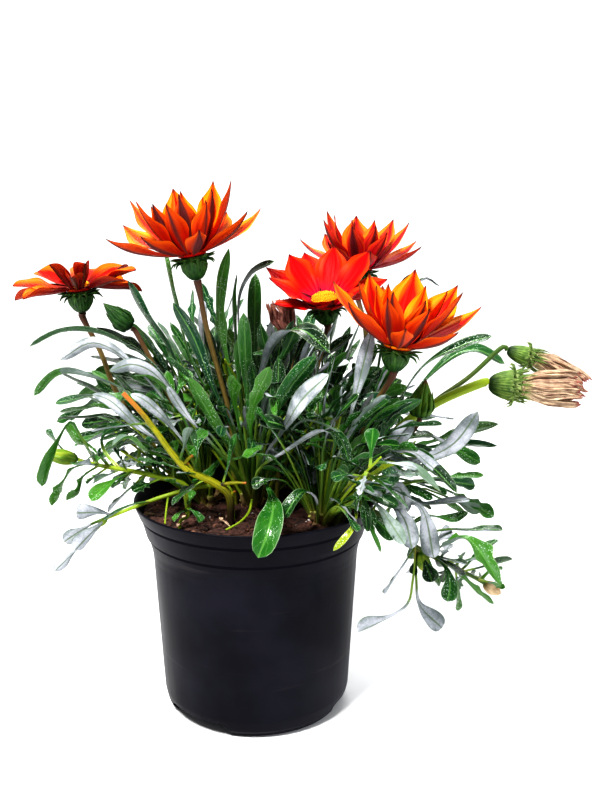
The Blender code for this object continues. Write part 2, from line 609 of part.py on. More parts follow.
def filled_leaves(rule, draw, roots):
    """Leaves of one crown by rule: drawn at random, and kept where they are clear."""
    owner, count, bearings, leans, lengths = rule
    (x, y), _ = CROWNS[owner]
    made = []
    for _ in range(count):
        for _ in range(FILL_TRIES):
            bearing = math.radians(draw.uniform(*bearings))
            lean = math.radians(draw.uniform(*leans))
            length = draw.uniform(*lengths)
            half_width = draw.uniform(3.6, 5.6)
            bare = draw.uniform(0.42, 0.6)
            turns = (draw.uniform(-20, 20), draw.uniform(-45, 45))
            droop = draw.uniform(0.05, 0.30) * math.sin(lean)
            outline = draw.choice(["spoon", "spoon", "spoon", "toothed"])
            out = np.array([math.cos(bearing), math.sin(bearing), 0.0])
            root = crown_root(owner, np.array([x, y, 0.0]) + out * 50 * math.sin(lean), roots)
            reach, rise = length * math.sin(lean), length * math.cos(lean)
            path = root + np.array([out * reach * s + np.array([0, 0, rise * (s + droop * 4 * s * (1 - s))])
                                    for s in (0.0, 0.3, 0.62, 1.0)])
            samples, rooted = leaf_samples(path, half_width, bare, turns, out)
            if is_over_pot(samples, rooted) and is_free(owner, samples, rooted):
                take(owner, samples, 0.0, rooted)
                roots[owner] = [place for place in roots[owner] if place is not root]
                made.append((path, half_width, bare, turns, out, outline))
                break
    return made


def rooted_line(root, places, spacing):
    """Path that stands straight in its hole in the soil and then runs through the places."""
    foot = np.array([root[0], root[1], SOIL_TOP - HOLE_DEPTH])
    neck = np.array([root[0], root[1], SOIL_TOP + 3.5])
    points = [neck] + places
    length = sum(np.linalg.norm(b - a) for a, b in zip(points, points[1:]))
    return np.vstack([[foot], smooth(points, np.linspace(0, 1, max(4, int(length / spacing))))])


def stem_line(top, axis, pixels, root):
    """Stem path from the soil, through the places seen, to the piece that it carries, end on."""
    places = [seen(*p) for p in pixels][::-1]
    return np.vstack([rooted_line(root, places + [top - axis * STEM_END], STEM_SPACING), [top]])


def add_hole(root, radius):
    """Notes a plain hole in the soil for a stem or a crown."""
    HOLES.append((root[0], root[1], radius + GAP))


def add_stem(name, line, radii, colour, parts):
    """A bare stem in its own node, and the room that it takes."""
    made = tube(name, line, radii, parts)
    finish(made, colour)
    take(name, smooth(line, np.linspace(0, 1, 90)), max(radii) - STEM_SPARE)
    add_hole(line[0][:2], max(radii))


def axis_frame(seat, axis, spin=0.0):
    """Matrix that stands a turned piece on its seat, with its own +Z along the axis."""
    turn = Vector(axis).to_track_quat("Z", "Y").to_matrix().to_4x4()
    return Matrix.Translation(Vector(seat * MM)) @ turn @ Matrix.Rotation(math.radians(spin), 4, "Z")


def place_mesh(made, frame):
    """Moves a piece's mesh to its place, so that pieces in one frame can be fused."""
    made.data.transform(frame)


def cup(name, frame, profile, sides, teeth, tooth_length, parts):
    """Cup of fused bracts: a turned body with pointed teeth that curl outwards under the petals."""
    body = bake(turned(name, [(0.0, profile[0][1])] + profile + [(0.0, profile[-1][1])], sides, parts))
    pieces = []
    rim = profile[1][0]
    for number in range(teeth):
        bearing = 2 * math.pi * (number + 0.5) / teeth
        out = np.array([math.cos(bearing), math.sin(bearing), 0.0])
        up = np.array([0.0, 0.0, 1.0])
        top = profile[1][1]
        reach = tooth_length * (1.0 if number % 2 else 0.75)
        spine = np.array([out * (rim - TOOTH_ROOT) + up * (top - 0.6),
                          out * (rim + reach * 0.6) + up * (top - TOOTH_THICK),
                          out * (rim + reach) + up * (top - TOOTH_CURL)])
        side, face = frames(spine, out, up, (0, 0))
        verts, faces = blade(spine, TOOTH_WIDTHS, TOOTH_THICK, side, face, 0.0)
        pieces.append(add_mesh(name + "_tooth", verts, faces, parts))
    join(body, pieces)
    place_mesh(body, frame)
    finish(body, "cup")
    return body


def rays(name, frame, rows, scale, spin, colour, parts, draw):
    """Ray petals of one bloom, rooted in the plate that the cup holds."""
    plate = bpy.data.meshes.new(name)
    work = bmesh.new()
    bmesh.ops.create_cone(work, cap_ends=True, segments=12, radius1=PLATE[0] * MM, radius2=PLATE[0] * MM,
                          depth=PLATE[1] * MM)
    work.to_mesh(plate)
    work.free()
    base = bpy.data.objects.new(name, plate)
    parts.objects.link(base)
    up = np.array([0.0, 0.0, 1.0])
    pieces, samples = [], []
    dense_shares = np.linspace(0, 1, 24)
    for row, (count, low, high, length) in enumerate(rows):
        for number in range(count):
            bearing = 2 * math.pi * (number + 0.5 * row) / count + math.radians(spin + draw.uniform(-5, 5))
            out = np.array([math.cos(bearing), math.sin(bearing), 0.0])
            reach = length * scale * draw.uniform(0.93, 1.05)
            lift = draw.uniform(-4, 4)
            fine = np.linspace(0, 1, 33)
            rise = np.radians(low + lift + (high - low) * fine)
            step = out * np.cos(rise)[:, None] + up * np.sin(rise)[:, None]
            curve = np.cumsum(step, axis=0) * reach / len(fine)
            curve = curve - curve[0] + out * (PETAL_ROOT - 0.2 * row)
            spine = np.stack([np.interp(PETAL_SHARES, fine, curve[:, k]) for k in range(3)], 1)
            side, face = frames(spine, out, up, (draw.uniform(-8, 8), draw.uniform(-14, 14)))
            widths = PETAL_WIDTH * scale * draw.uniform(0.92, 1.05) * PETAL_OUTLINE
            verts, faces = blade(spine, widths, PETAL_THICK, side, face, PETAL_FOLD)
            pieces.append(add_mesh(name + "_petal", verts, faces, parts))
            edge = np.interp(dense_shares, PETAL_SHARES, widths)
            dense, spread = [np.stack([np.interp(dense_shares, PETAL_SHARES, axis) for axis in line.T], 1)
                             for line in (spine, side)]
            samples.append((dense[:, None] + spread[:, None]
                            * (edge[:, None] * np.linspace(-1, 1, 7))[:, :, None]).reshape(-1, 3))
    join(base, pieces)
    place_mesh(base, frame)
    finish(base, colour)
    turn = np.array(frame.to_3x3())
    shift = np.array(frame.translation) / MM
    take(name, np.vstack(samples) @ turn.T + shift, 0.4)


def disc(name, frame, parts):
    """Yellow disc: a low dome, with its florets as rows of bumps."""
    bottom = PLATE[1] / 2 + GAP
    profile = [(0.0, bottom + 2.8), (1.7, bottom + 2.7), (3.5, bottom + 2.3), (5.0, bottom + 1.6),
               (DISC_RADIUS, bottom), (0.0, bottom)]
    made = bake(turned(name, profile, 12, parts))
    for vert in made.data.vertices:
        r = math.hypot(vert.co.x, vert.co.y) / MM
        ring = round(r / FLORET_SPACING)
        if 0.5 < r < DISC_RADIUS - 0.2:
            bearing = math.atan2(vert.co.y, vert.co.x)
            vert.co.z += FLORET_RISE * MM * (1 if (round(bearing / math.tau * 12) + ring) % 2 else -0.2)
    place_mesh(made, frame)
    finish(made, "disc")


def bloom(name, spec, parts, draw):
    """Open bloom: stem, cup, rays and disc, each its own node, standing on one another."""
    seat = seen(*spec["seat"])
    lean = [math.tan(math.radians(a)) for a in spec["lean"]]
    axis = unit(np.array([lean[0], -lean[1], 1.0]))
    frame = axis_frame(seat, axis)
    top = -PLATE[1] / 2 - GAP
    profile = [(r, z + top) for r, z in CUP_PROFILE]
    cup(name + "_cup", frame, profile, CUP_SIDES, CUP_TEETH, 5.5, parts)
    colour = "red_petal" if name == "bloom_red" else "petal"
    rays(name + "_rays", frame, spec["rows"], spec["scale"], spec["spin"], colour, parts, draw)
    disc(name + "_disc", frame, parts)
    take(name + "_cup", seat + np.outer(np.linspace(-14, -2, 6), axis), 10.5)
    end = seat + axis * (profile[-1][1] - GAP)
    line = stem_line(end, axis, spec["stem"], spec["root"])
    add_stem(name + "_stem", line, (STEM_RADIUS + 0.2, STEM_RADIUS), "stem", parts)


def withered(name, spec, parts, draw):
    """Withered head: cup with needle teeth, rolled dry petals bunched along its axis, and its stem."""
    seat = seen(*spec["seat"])
    axis = unit(seen(*spec["aim"]) - seat)
    frame = axis_frame(seat, axis)
    radius, depth = spec["cup"]
    profile = [(radius * 0.80, -GAP), (radius, -depth * 0.30), (radius * 0.96, -depth * 0.62),
               (radius * 0.66, -depth * 0.88), (spec["radius"] + 0.6, -depth)]
    teeth = 8 if name == "withered_front" else 5
    cup(name + "_cup", frame, profile, 10, teeth, radius * 0.55, parts)
    core = bake(turned(name + "_rays", [(0.0, 3.0), (radius * 0.5, 2.2), (radius * 0.74, 0.9),
                                        (radius * 0.74, 0.0), (0.0, 0.0)], 10, parts))
    up = np.array([0.0, 0.0, 1.0])
    pieces = []
    for number in range(spec["petals"]):
        bearing = 2 * math.pi * (number + draw.uniform(-0.2, 0.2)) / spec["petals"]
        out = np.array([math.cos(bearing), math.sin(bearing), 0.0])
        around = np.cross(up, out)
        start = radius * (0.56 if number % 2 else 0.36)
        length = spec["length"] * draw.uniform(0.82, 1.08)
        spread = spec["spread"] * draw.uniform(0.6, 1.15)
        sway = draw.uniform(-2.2, 2.2)
        spine = (np.outer(start + spread * np.sin(DRY_SHARES * 2.0) * 0.55, out)
                 + np.outer(length * DRY_SHARES, up) + np.outer(sway * np.sin(DRY_SHARES * 3.4), around) + up)
        side, face = frames(spine, up, out, (draw.uniform(-50, 50), draw.uniform(-50, 50)))
        verts, faces = blade(spine, DRY_WIDTHS, DRY_THICK, side, face, 0.0)
        pieces.append(add_mesh(name + "_petal", verts, faces, parts))
    join(core, pieces)
    place_mesh(core, frame)
    finish(core, "dry_brown" if name == "dry_head" else "dry_petal")
    along = np.linspace(-depth, spec["length"], 14)
    take(name + "_rays", seat + np.outer(along, axis), radius + 2.5)
    line = stem_line(seat - axis * (depth + GAP), axis, spec["stem"], spec["root"])
    colour = "stem" if name == "dry_head" else "green_stem"
    add_stem(name + "_stem", line, (spec["radius"], spec["radius"]), colour, parts)


def bud(name, spec, parts):
    """Closed bud: a pointed egg with bract ribs, on its stem."""
    base, tip = seen(*spec["base"]), seen(*spec["tip"])
    length = np.linalg.norm(tip - base)
    radius = spec["radius"]
    profile = [(radius * r, length * z) for r, z in BUD_PROFILE] + [(0.0, 0.0)]
    made = bake(turned(name, profile, 2 * BUD_RIBS, parts))
    for vert in made.data.vertices:
        rib = 1 + RIB_DEPTH * math.cos(BUD_RIBS * math.atan2(vert.co.y, vert.co.x))
        vert.co.x *= rib
        vert.co.y *= rib
    place_mesh(made, axis_frame(base, unit(tip - base)))
    finish(made, "bud")
    take(name, base + np.outer(np.linspace(0, 1, 8), tip - base), radius)
    axis = unit(tip - base)
    line = stem_line(base - axis * GAP, axis, spec["stem"], spec["root"])
    add_stem(name + "_stem", line, (1.6, 1.5), "stem", parts)


def crown_base(name, parts):
    """Woody crown that stands in its hole, and which the leaf stalks grow from."""
    (x, y), radius = CROWNS[name]
    bottom = SOIL_TOP - HOLE_DEPTH
    profile = [(0.0, SOIL_TOP + 5.0), (radius * 0.62, SOIL_TOP + 4.0), (radius, SOIL_TOP),
               (radius * 0.96, bottom), (0.0, bottom)]
    made = bake(turned(name, profile, 9, parts))
    made.data.transform(Matrix.Translation((x * MM, y * MM, 0)))
    add_hole((x, y), radius)
    take(name, np.array([[x, y, SOIL_TOP + 1.0]]), radius)
    return made


def spray_base(name, parts, stems):
    """Stem of a spray, from its hole in the soil to its tip, with the small buds it carries."""
    spec = SPRAYS[name]
    places = [seen(*p) for p in spec["path"]]
    root = spec["root"]
    line = rooted_line(root, places, SPRAY_SPACING)
    stems[name] = smooth(line, np.linspace(0, 1, 90))
    take(name, stems[name], max(spec["radii"]) - STEM_SPARE)
    add_hole(root, spec["radii"][0])
    return tube(name, line, spec["radii"], parts)


def small_bud(name, base, tip, radius, parts):
    """Small round bud at the end of a spray's branch."""
    base, tip = seen(*base), seen(*tip)
    length = np.linalg.norm(tip - base)
    profile = [(0.0, length), (radius * 0.7, length * 0.8), (radius, length * 0.45), (radius * 0.6, 0.8),
               (0.0, 0.0)]
    made = bake(turned(name, profile, 10, parts))
    place_mesh(made, axis_frame(base, unit(tip - base)))
    return made


def foliage(parts):
    """All crowns and sprays, each one fused body: woody base or stem, with its leaves."""
    stems, bases, leaves = {}, {}, {}
    for name in CROWNS:
        bases[name] = crown_base(name, parts)
    for name in SPRAYS:
        bases[name] = spray_base(name, parts, stems)
    for name in bases:
        leaves[name] = []
    roots = {name: open_roots(name) for name in CROWNS}
    for leaf in LEAVES:
        made = seen_leaf(leaf, stems, roots)
        if made:
            leaves[leaf[0]].append(made)
    draw = random.Random(SEED)
    for rule in FILL:
        leaves[rule[0]] += filled_leaves(rule, draw, roots)
    for name, base in bases.items():
        pieces = [leaf_mesh(name + "_leaf", path, width, bare, turns, plan, outline, parts)
                  for path, width, bare, turns, plan, outline in leaves[name]]
        pieces += [small_bud(name + "_bud", *spec, parts) for spec in SMALL_BUDS.get(name, [])]
        if pieces:
            join(base, pieces)
        finish(base, "green_stem" if name == "old_stem" else "leaf")


def subtract(made, cutters):
    """Cuts the collection of cutters from an object."""
    cut = made.modifiers.new("cut", "BOOLEAN")
    cut.operation = "DIFFERENCE"
    cut.operand_type = "COLLECTION"
    cut.collection = cutters
    cut.solver = "EXACT"


def cutter(name, collection):
    """Empty mesh object for a cutter, hidden from renders and drawn as wire."""
    mesh = bpy.data.meshes.new(name)
    made = bpy.data.objects.new(name, mesh)
    made.hide_render = True
    made.display_type = "WIRE"
    collection.objects.link(made)
    return made


def pot(parts, cutters):
    """Nursery pot: turned wall and floor, with drain channels between three feet, and drain holes."""
    profile = [(0.0, POT_FLOOR)] + POT_INSIDE + POT_OUTSIDE + [(0.0, 0.0)]
    made = turned("pot", profile, POT_SIDES, parts)
    wide, long, tall = CHANNEL_SIZE
    for number, bearing in enumerate(CHANNEL_BEARINGS):
        turn = Matrix.Rotation(math.radians(bearing), 4, "Z")
        channel = cutter(f"channel_{number}", cutters)
        work = bmesh.new()
        bmesh.ops.create_cube(work, size=1.0)
        bmesh.ops.scale(work, vec=(long * MM * 2, wide * MM, tall * 2 * MM), verts=work.verts)
        bmesh.ops.translate(work, vec=((CHANNEL_START + long) * MM, 0, 0), verts=work.verts)
        upper = [e for e in work.edges if all(v.co.z > 0 for v in e.verts)]
        bmesh.ops.bevel(work, geom=upper, offset=CHANNEL_ROUND * MM, segments=1, profile=0.5,
                        affect="EDGES")
        work.to_mesh(channel.data)
        work.free()
        channel.data.transform(turn)
        drain = cutter(f"drain_{number}", cutters)
        work = bmesh.new()
        bmesh.ops.create_cone(work, cap_ends=True, segments=16, radius1=DRAIN_RADIUS * MM,
                              radius2=DRAIN_RADIUS * MM, depth=30 * MM)
        bmesh.ops.translate(work, vec=(DRAIN_DISTANCE * MM, 0, 8 * MM), verts=work.verts)
        work.to_mesh(drain.data)
        work.free()
        drain.data.transform(turn)
    subtract(made, cutters)
    made.data.materials.append(material("pot"))
    return made


def soil(parts, cutters):
    """Soil that fills the pot, with low lumps on top and a hole for each stem and crown."""
    wall = [(r - GAP, z) for r, z in POT_INSIDE if POT_FLOOR < z < SOIL_TOP - 2]
    edge = np.interp(SOIL_TOP - 2.0, [z for _, z in POT_INSIDE], [r for r, _ in POT_INSIDE]) - GAP
    profile = ([(r, SOIL_TOP) for r in SOIL_RINGS] + [(edge, SOIL_TOP - 2.0)] + wall[::-1]
               + [(POT_INSIDE[0][0] - GAP, POT_FLOOR + GAP), (0.0, POT_FLOOR + GAP)])
    made = bake(turned("soil", profile, POT_SIDES, parts))
    for vert in made.data.vertices:
        x, y = vert.co.x / MM, vert.co.y / MM
        if vert.co.z / MM > SOIL_TOP - 0.5:
            lump = math.sin(0.31 * x + 1.3) * math.cos(0.27 * y) + 0.6 * math.sin(0.53 * x - 0.47 * y)
            vert.co.z += SOIL_LUMP * lump * MM
    for number, (x, y, radius) in enumerate(HOLES):
        hole = cutter(f"hole_{number}", cutters)
        work = bmesh.new()
        sides = STEM_HOLE_SIDES if radius < 4 else CROWN_HOLE_SIDES
        corner = radius / math.cos(math.pi / sides)
        bmesh.ops.create_cone(work, cap_ends=True, segments=sides, radius1=corner * MM,
                              radius2=corner * MM, depth=2 * (HOLE_DEPTH + GAP) * MM)
        bmesh.ops.translate(work, vec=(x * MM, y * MM, SOIL_TOP * MM), verts=work.verts)
        work.to_mesh(hole.data)
        work.free()
    subtract(made, cutters)
    made.data.materials.append(material("soil"))
    return made


def main():
    """Builds every sub-part in the order in which they rest on one another."""
    for old in list(bpy.data.objects):
        bpy.data.objects.remove(old)
    parts = bpy.data.collections.new("potted_gazania")
    pot_cutters = bpy.data.collections.new("pot_cutters")
    soil_cutters = bpy.data.collections.new("soil_cutters")
    for collection in (parts, pot_cutters, soil_cutters):
        bpy.context.scene.collection.children.link(collection)
    pot(parts, pot_cutters)
    draw = random.Random(SEED)
    for name, spec in BLOOMS.items():
        bloom(name, spec, parts, draw)
    for name, spec in WITHERED.items():
        withered(name, spec, parts, draw)
    for name, spec in BUDS.items():
        bud(name, spec, parts)
    foliage(parts)
    soil(parts, soil_cutters)


main()
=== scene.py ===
"""Looks of the potted gazania: fine leaves, petals, stems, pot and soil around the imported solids.

Lengths are in millimetres until a mesh is written. Stems, blooms and leaves are placed by the tables and
the seeded rule that the solids use, so each fine piece stands where its solid does. Pixels are those of
the photograph, as (u, v, depth), with the depth behind (+) or in front (-) of the pot's axis.
"""

import logging
import math
import random
from dataclasses import dataclass, field
from enum import Enum
from typing import Callable, Iterable, Sequence

import bmesh
import bpy
import numpy as np
from mathutils import Matrix, Vector


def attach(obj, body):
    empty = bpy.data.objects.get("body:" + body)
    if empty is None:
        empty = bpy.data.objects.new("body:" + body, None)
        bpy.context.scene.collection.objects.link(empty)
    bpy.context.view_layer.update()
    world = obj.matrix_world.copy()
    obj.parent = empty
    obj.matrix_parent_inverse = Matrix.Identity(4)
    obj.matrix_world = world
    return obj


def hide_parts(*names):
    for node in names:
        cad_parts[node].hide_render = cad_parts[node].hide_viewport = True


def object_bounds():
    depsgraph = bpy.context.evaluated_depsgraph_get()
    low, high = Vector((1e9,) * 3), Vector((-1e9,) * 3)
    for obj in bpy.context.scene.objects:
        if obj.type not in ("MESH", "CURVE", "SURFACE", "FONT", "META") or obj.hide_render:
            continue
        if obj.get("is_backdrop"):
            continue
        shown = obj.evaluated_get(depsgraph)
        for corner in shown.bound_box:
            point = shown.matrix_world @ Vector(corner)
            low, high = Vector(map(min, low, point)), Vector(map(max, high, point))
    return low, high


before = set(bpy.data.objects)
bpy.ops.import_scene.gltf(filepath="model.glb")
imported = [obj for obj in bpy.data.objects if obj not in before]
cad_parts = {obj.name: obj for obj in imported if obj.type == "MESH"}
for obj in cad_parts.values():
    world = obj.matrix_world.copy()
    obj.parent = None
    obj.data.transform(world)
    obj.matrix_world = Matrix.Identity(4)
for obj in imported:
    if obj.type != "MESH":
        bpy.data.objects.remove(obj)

LOG = logging.getLogger("gazania")
Array = np.ndarray
Draw = random.Random
Socket = bpy.types.NodeSocket
Pair = tuple[float, float]
Triple = Pixel = Colour = tuple[float, float, float]
Faces = list[tuple[int, ...]]
Place = tuple[Array, Array]
MM = 0.001
GAP = 0.3
INSET = 5.0
SEED = 41
SOIL_TOP = 127.0
HOLE_DEPTH = 13.0
POT_HEIGHT = 134.0
STEM_STEPS = 90
GOLDEN_ANGLE = math.radians(137.5)
FULL_TURN = 2 * math.pi
UP = np.array([0.0, 0.0, 1.0])


@dataclass(frozen=True)
class PhotoCamera:
    """The photograph's viewpoint, which turns its pixels into places and frames the render."""

    eye: Triple = (27.8, -600.0, 327.2)
    pitch: float = math.radians(12.5)
    focal_px: float = 1009.0
    middle_px: Pair = (300.0, 400.0)
    height_px: float = 800.0
    sensor_mm: float = 36.0

    def seen(self, u: float, v: float, depth: float) -> Array:
        """Place that the photograph shows at a pixel, at a depth from the pot's axis.

        Args:
            u: Pixel column.
            v: Pixel row.
            depth: Distance behind the pot's axis, in millimetres.

        Returns:
            The place: the eye plus the pixel's ray, stretched until it reaches that depth.
        """
        right = (u - self.middle_px[0]) / self.focal_px
        rise = (self.middle_px[1] - v) / self.focal_px
        ray = np.array([right, math.cos(self.pitch) + rise * math.sin(self.pitch),
                        rise * math.cos(self.pitch) - math.sin(self.pitch)])
        eye = np.array(self.eye)
        return eye + ray * (depth - eye[1]) / ray[1]

    def build(self) -> None:
        """Adds the camera at the photograph's viewing angle and makes it the scene's own."""
        data = bpy.data.cameras.new("camera")
        data.sensor_fit = "VERTICAL"
        data.sensor_height = self.sensor_mm
        data.lens = self.sensor_mm * self.focal_px / self.height_px
        data.clip_start = 0.01
        camera = bpy.data.objects.new("camera", data)
        camera.location = Vector(self.eye) * MM
        camera.rotation_euler = (math.pi / 2 - self.pitch, 0.0, 0.0)
        bpy.context.scene.collection.objects.link(camera)
        bpy.context.scene.camera = camera


CAMERA = PhotoCamera()


def unit(vectors: Array) -> Array:
    """Vectors scaled to length 1."""
    return vectors / np.linalg.norm(vectors, axis=-1, keepdims=True)


def level(bearing: float) -> Array:
    """Level direction of length 1 at a bearing, in radians."""
    return np.array([math.cos(bearing), math.sin(bearing), 0.0])


def evenly(count: int) -> Array:
    """Shares from 0 to 1 in equal steps."""
    return np.linspace(0, 1, count)


def resampled(points: Array, at: Array, shares: Array) -> Array:
    """Points of a path whose corners lie at some shares, read at others on straight runs."""
    return np.stack([np.interp(shares, at, axis) for axis in points.T], 1)


def smooth(points: Sequence[Array], shares: Sequence[float]) -> Array:
    """Catmull-Rom curve through the points, read at shares (0 to 1) of its length.

    Args:
        points: Points that the curve passes.
        shares: Shares of the whole length.

    Returns:
        One point for each share.
    """
    points = np.array(points, float)
    held = np.vstack([2 * points[0] - points[1], points, 2 * points[-1] - points[-2]])
    step = evenly(17)[:-1, None]
    runs = []
    for i in range(len(points) - 1):
        a, b, c, d = held[i:i + 4]
        runs.append(0.5 * (2 * b + (c - a) * step + (2 * a - 5 * b + 4 * c - d) * step ** 2
                           + (3 * b - a - 3 * c + d) * step ** 3))
    curve = np.vstack(runs + [points[-1:]])
    length = np.concatenate([[0], np.cumsum(np.linalg.norm(np.diff(curve, axis=0), axis=1))])
    return resampled(curve, length, np.array(shares) * length[-1])


def frames(spine: Array, plan: Array, up: Array, turns: Sequence[float]) -> tuple[Array, Array]:
    """Side and face directions along a spine; the face looks up where the spine runs along plan.

    Args:
        spine: Points along the middle of a blade.
        plan: Direction in which it runs.
        up: Direction that its face looks in.
        turns: Degrees by which the blade turns about its middle, at its root and tip or at each point.

    Returns:
        The side and the face direction at each point.
    """
    along = unit(np.gradient(spine, axis=0))
    across = unit(np.cross(up, plan))
    side = unit(across - along * (along @ across)[:, None])
    face = np.cross(along, side)
    turn = np.radians(np.linspace(*turns, len(spine)) if len(turns) == 2 else turns)[:, None]
    return side * np.cos(turn) + face * np.sin(turn), face * np.cos(turn) - side * np.sin(turn)


def profile_curve(points: Sequence[Pair], shares: Array) -> Array:
    """Smooth curve through (share, value) points, read at shares: a Catmull-Rom curve in the plane."""
    curve = smooth([np.array([x, y, 0.0]) for x, y in points], evenly(160))
    return np.interp(shares, curve[:, 0], curve[:, 1])


def ripple(points: Array, size: float, seed: int, octaves: int = 3) -> Array:
    """Smooth noise from -1 to 1: sines along random directions, at 2 to 1 sizes and weights.

    Args:
        points: Places, in millimetres.
        size: Length of the largest waves.
        seed: Seed of the directions.
        octaves: Number of halvings of the size.

    Returns:
        One value for each place.
    """
    draw = np.random.default_rng(seed)
    total = np.zeros(len(points))
    for octave in range(octaves):
        waves = unit(draw.normal(size=(7, 3))) * FULL_TURN * 2 ** octave / size
        total += np.sin(points @ waves.T + draw.uniform(0, FULL_TURN, 7)).mean(1) / 1.7 ** octave
    return total


def ring_faces(rings: int, size: int, flip: bool, first_point: bool = False,
               last_point: bool = False) -> Faces:
    """Faces of a closed surface made of rings of equal size.

    Args:
        rings: Number of rings.
        size: Points in each ring.
        flip: Whether the rings run clockwise round the direction from first to last.
        first_point: Whether it closes on one point before the first ring, stored after the rings.
        last_point: The same behind the last ring, stored last of all.

    Returns:
        Quads between the rings, with a fan or one flat face at either end.
    """
    i, k = np.meshgrid(np.arange(rings - 1), np.arange(size), indexing="ij")
    a, b = i * size + k, i * size + (k + 1) % size
    quads = np.stack([a, a + size, b + size, b] if flip else [a, b, b + size, a + size], -1)
    faces = [tuple(quad) for quad in quads.reshape(-1, 4).tolist()]
    near = list(range(size))
    far = [(rings - 1) * size + j for j in near]
    for ring, closes, point, turned in ((near, first_point, rings * size, not flip),
                                        (far, last_point, rings * size + first_point, flip)):
        order = ring[::-1] if turned else ring
        if closes:
            faces += [(order[j], order[(j + 1) % size], point) for j in range(size)]
        else:
            faces.append(tuple(order))
    return faces


class Shape:
    """Surface patches in millimetres, which become one mesh object at the origin.

    Each point carries four numbers that the finishes read: across (-1 to 1 over a blade), along (0 to 1
    from root to tip, and below 0 on a bare stalk), side (1 above, 0 beneath) and tint (0 to 1, one
    draw for each leaf or petal).
    """

    FIELDS = ("across", "along", "side", "tint")

    def __init__(self, name: str) -> None:
        """Starts an empty shape of that name.

        Args:
            name: Name of the object that it becomes.
        """
        self.name = name
        self.points: list[Array] = []
        self.faces: Faces = []
        self.slots: list[int] = []
        self.fields: dict[str, list[Array]] = {key: [] for key in self.FIELDS}
        self.count = 0

    def add(self, points: Array, faces: Iterable[tuple[int, ...]], slot: int = 0, across: Array | float = 0.0,
            along: Array | float = 0.5, side: Array | float = 1.0, tint: Array | float = 0.5) -> None:
        """Adds a patch.

        Args:
            points: Its points.
            faces: Its faces, by the patch's own point numbers.
            slot: Which of the object's finishes it wears.
            across: Place over the width, for each point or for all.
            along: Place along the length.
            side: Upper (1) or lower (0) surface.
            tint: Its own shade.
        """
        shift = self.count
        moved = [tuple(corner + shift for corner in face) for face in faces]
        self.faces += moved
        self.slots += [slot] * len(moved)
        self.points.append(points)
        for key, value in zip(self.FIELDS, (across, along, side, tint)):
            self.fields[key].append(np.broadcast_to(np.asarray(value, float), (len(points),)))
        self.count += len(points)

    def write(self, finishes: Sequence[bpy.types.Material], angle: float = 60.0) -> bpy.types.Object:
        """Makes the mesh object.

        Args:
            finishes: Its materials, by slot.
            angle: Edges sharper than this many degrees stay sharp.

        Returns:
            The new object, at the origin, with its place in its mesh.
        """
        mesh = bpy.data.meshes.new(self.name)
        mesh.from_pydata((np.vstack(self.points) * MM).tolist(), [], self.faces)
        for key in self.FIELDS:
            values = np.concatenate(self.fields[key])
            mesh.attributes.new(key, "FLOAT", "POINT").data.foreach_set("value", values)
        mesh.polygons.foreach_set("material_index", self.slots)
        mesh.polygons.foreach_set("use_smooth", [True] * len(self.faces))
        mesh.set_sharp_from_angle(angle=math.radians(angle))
        for finish in finishes:
            mesh.materials.append(finish)
        mesh.update()
        made = bpy.data.objects.new(self.name, mesh)
        bpy.context.scene.collection.objects.link(made)
        return made


@dataclass(frozen=True)
class BladeForm:
    """Cross-section of a leaf, petal or tooth."""

    thick: float = 0.6
    stalk: float = 1.1
    fold: float = 0.22
    curl: float = 1.5
    wave: float = 0.0
    waves: float = 3.0
    sweep: float = 0.15
    cells: int = 6

    def patch(self, spine: Array, side: Array, face: Array, width: Array,
              phase: float) -> tuple[Array, Faces, dict[str, Array]]:
        """Closed blade whose last width is 0.

        A point lies at spine + side * width * t + face * width * lift, with t from -1 to 1 and lift =
        fold * |t| ** curl + wave * t * t * sin(waves along the blade). Half the thickness is added above
        and taken away beneath, times 1 - t ** 4, so that the edge is sharp. The edge is swept towards
        the tip by sweep * width * |t|.

        Args:
            spine: Points along the middle.
            side: Side direction at each.
            face: Face direction at each.
            width: Half width at each.
            phase: Shift of the waves, in radians.

        Returns:
            Points, faces, and the across and side numbers of the points.
        """
        upper = np.linspace(-1, 1, self.cells + 1)
        t = np.concatenate([upper, upper[-2:0:-1]])
        above = np.concatenate([[0.0], np.ones(self.cells - 1), [0.0], -np.ones(self.cells - 1)])
        share = evenly(len(spine))[:-1, None]
        w = width[:-1, None]
        along = unit(np.gradient(spine, axis=0))
        thick = np.where(w > 1.5 * self.stalk, self.thick, np.minimum(self.stalk, 1.6 * w + 0.05))
        lift = self.fold * np.abs(t) ** self.curl
        lift = lift + self.wave * t * t * np.sin(FULL_TURN * self.waves * share + phase + 1.3 * np.sign(t))
        rings = (spine[:-1, None] + side[:-1, None] * (w * t)[..., None]
                 + face[:-1, None] * (w * lift + above * thick / 2 * (1 - t ** 4))[..., None]
                 + along[:-1, None] * (self.sweep * w * np.abs(t))[..., None])
        points = np.vstack([rings.reshape(-1, 3), spine[-1:]])
        faces = ring_faces(len(spine) - 1, len(t), True, last_point=True)
        count = len(spine) - 1
        return points, faces, {"across": np.append(np.tile(t, count), 0.0),
                               "side": np.append(np.tile((above + 1) / 2, count), 0.5)}


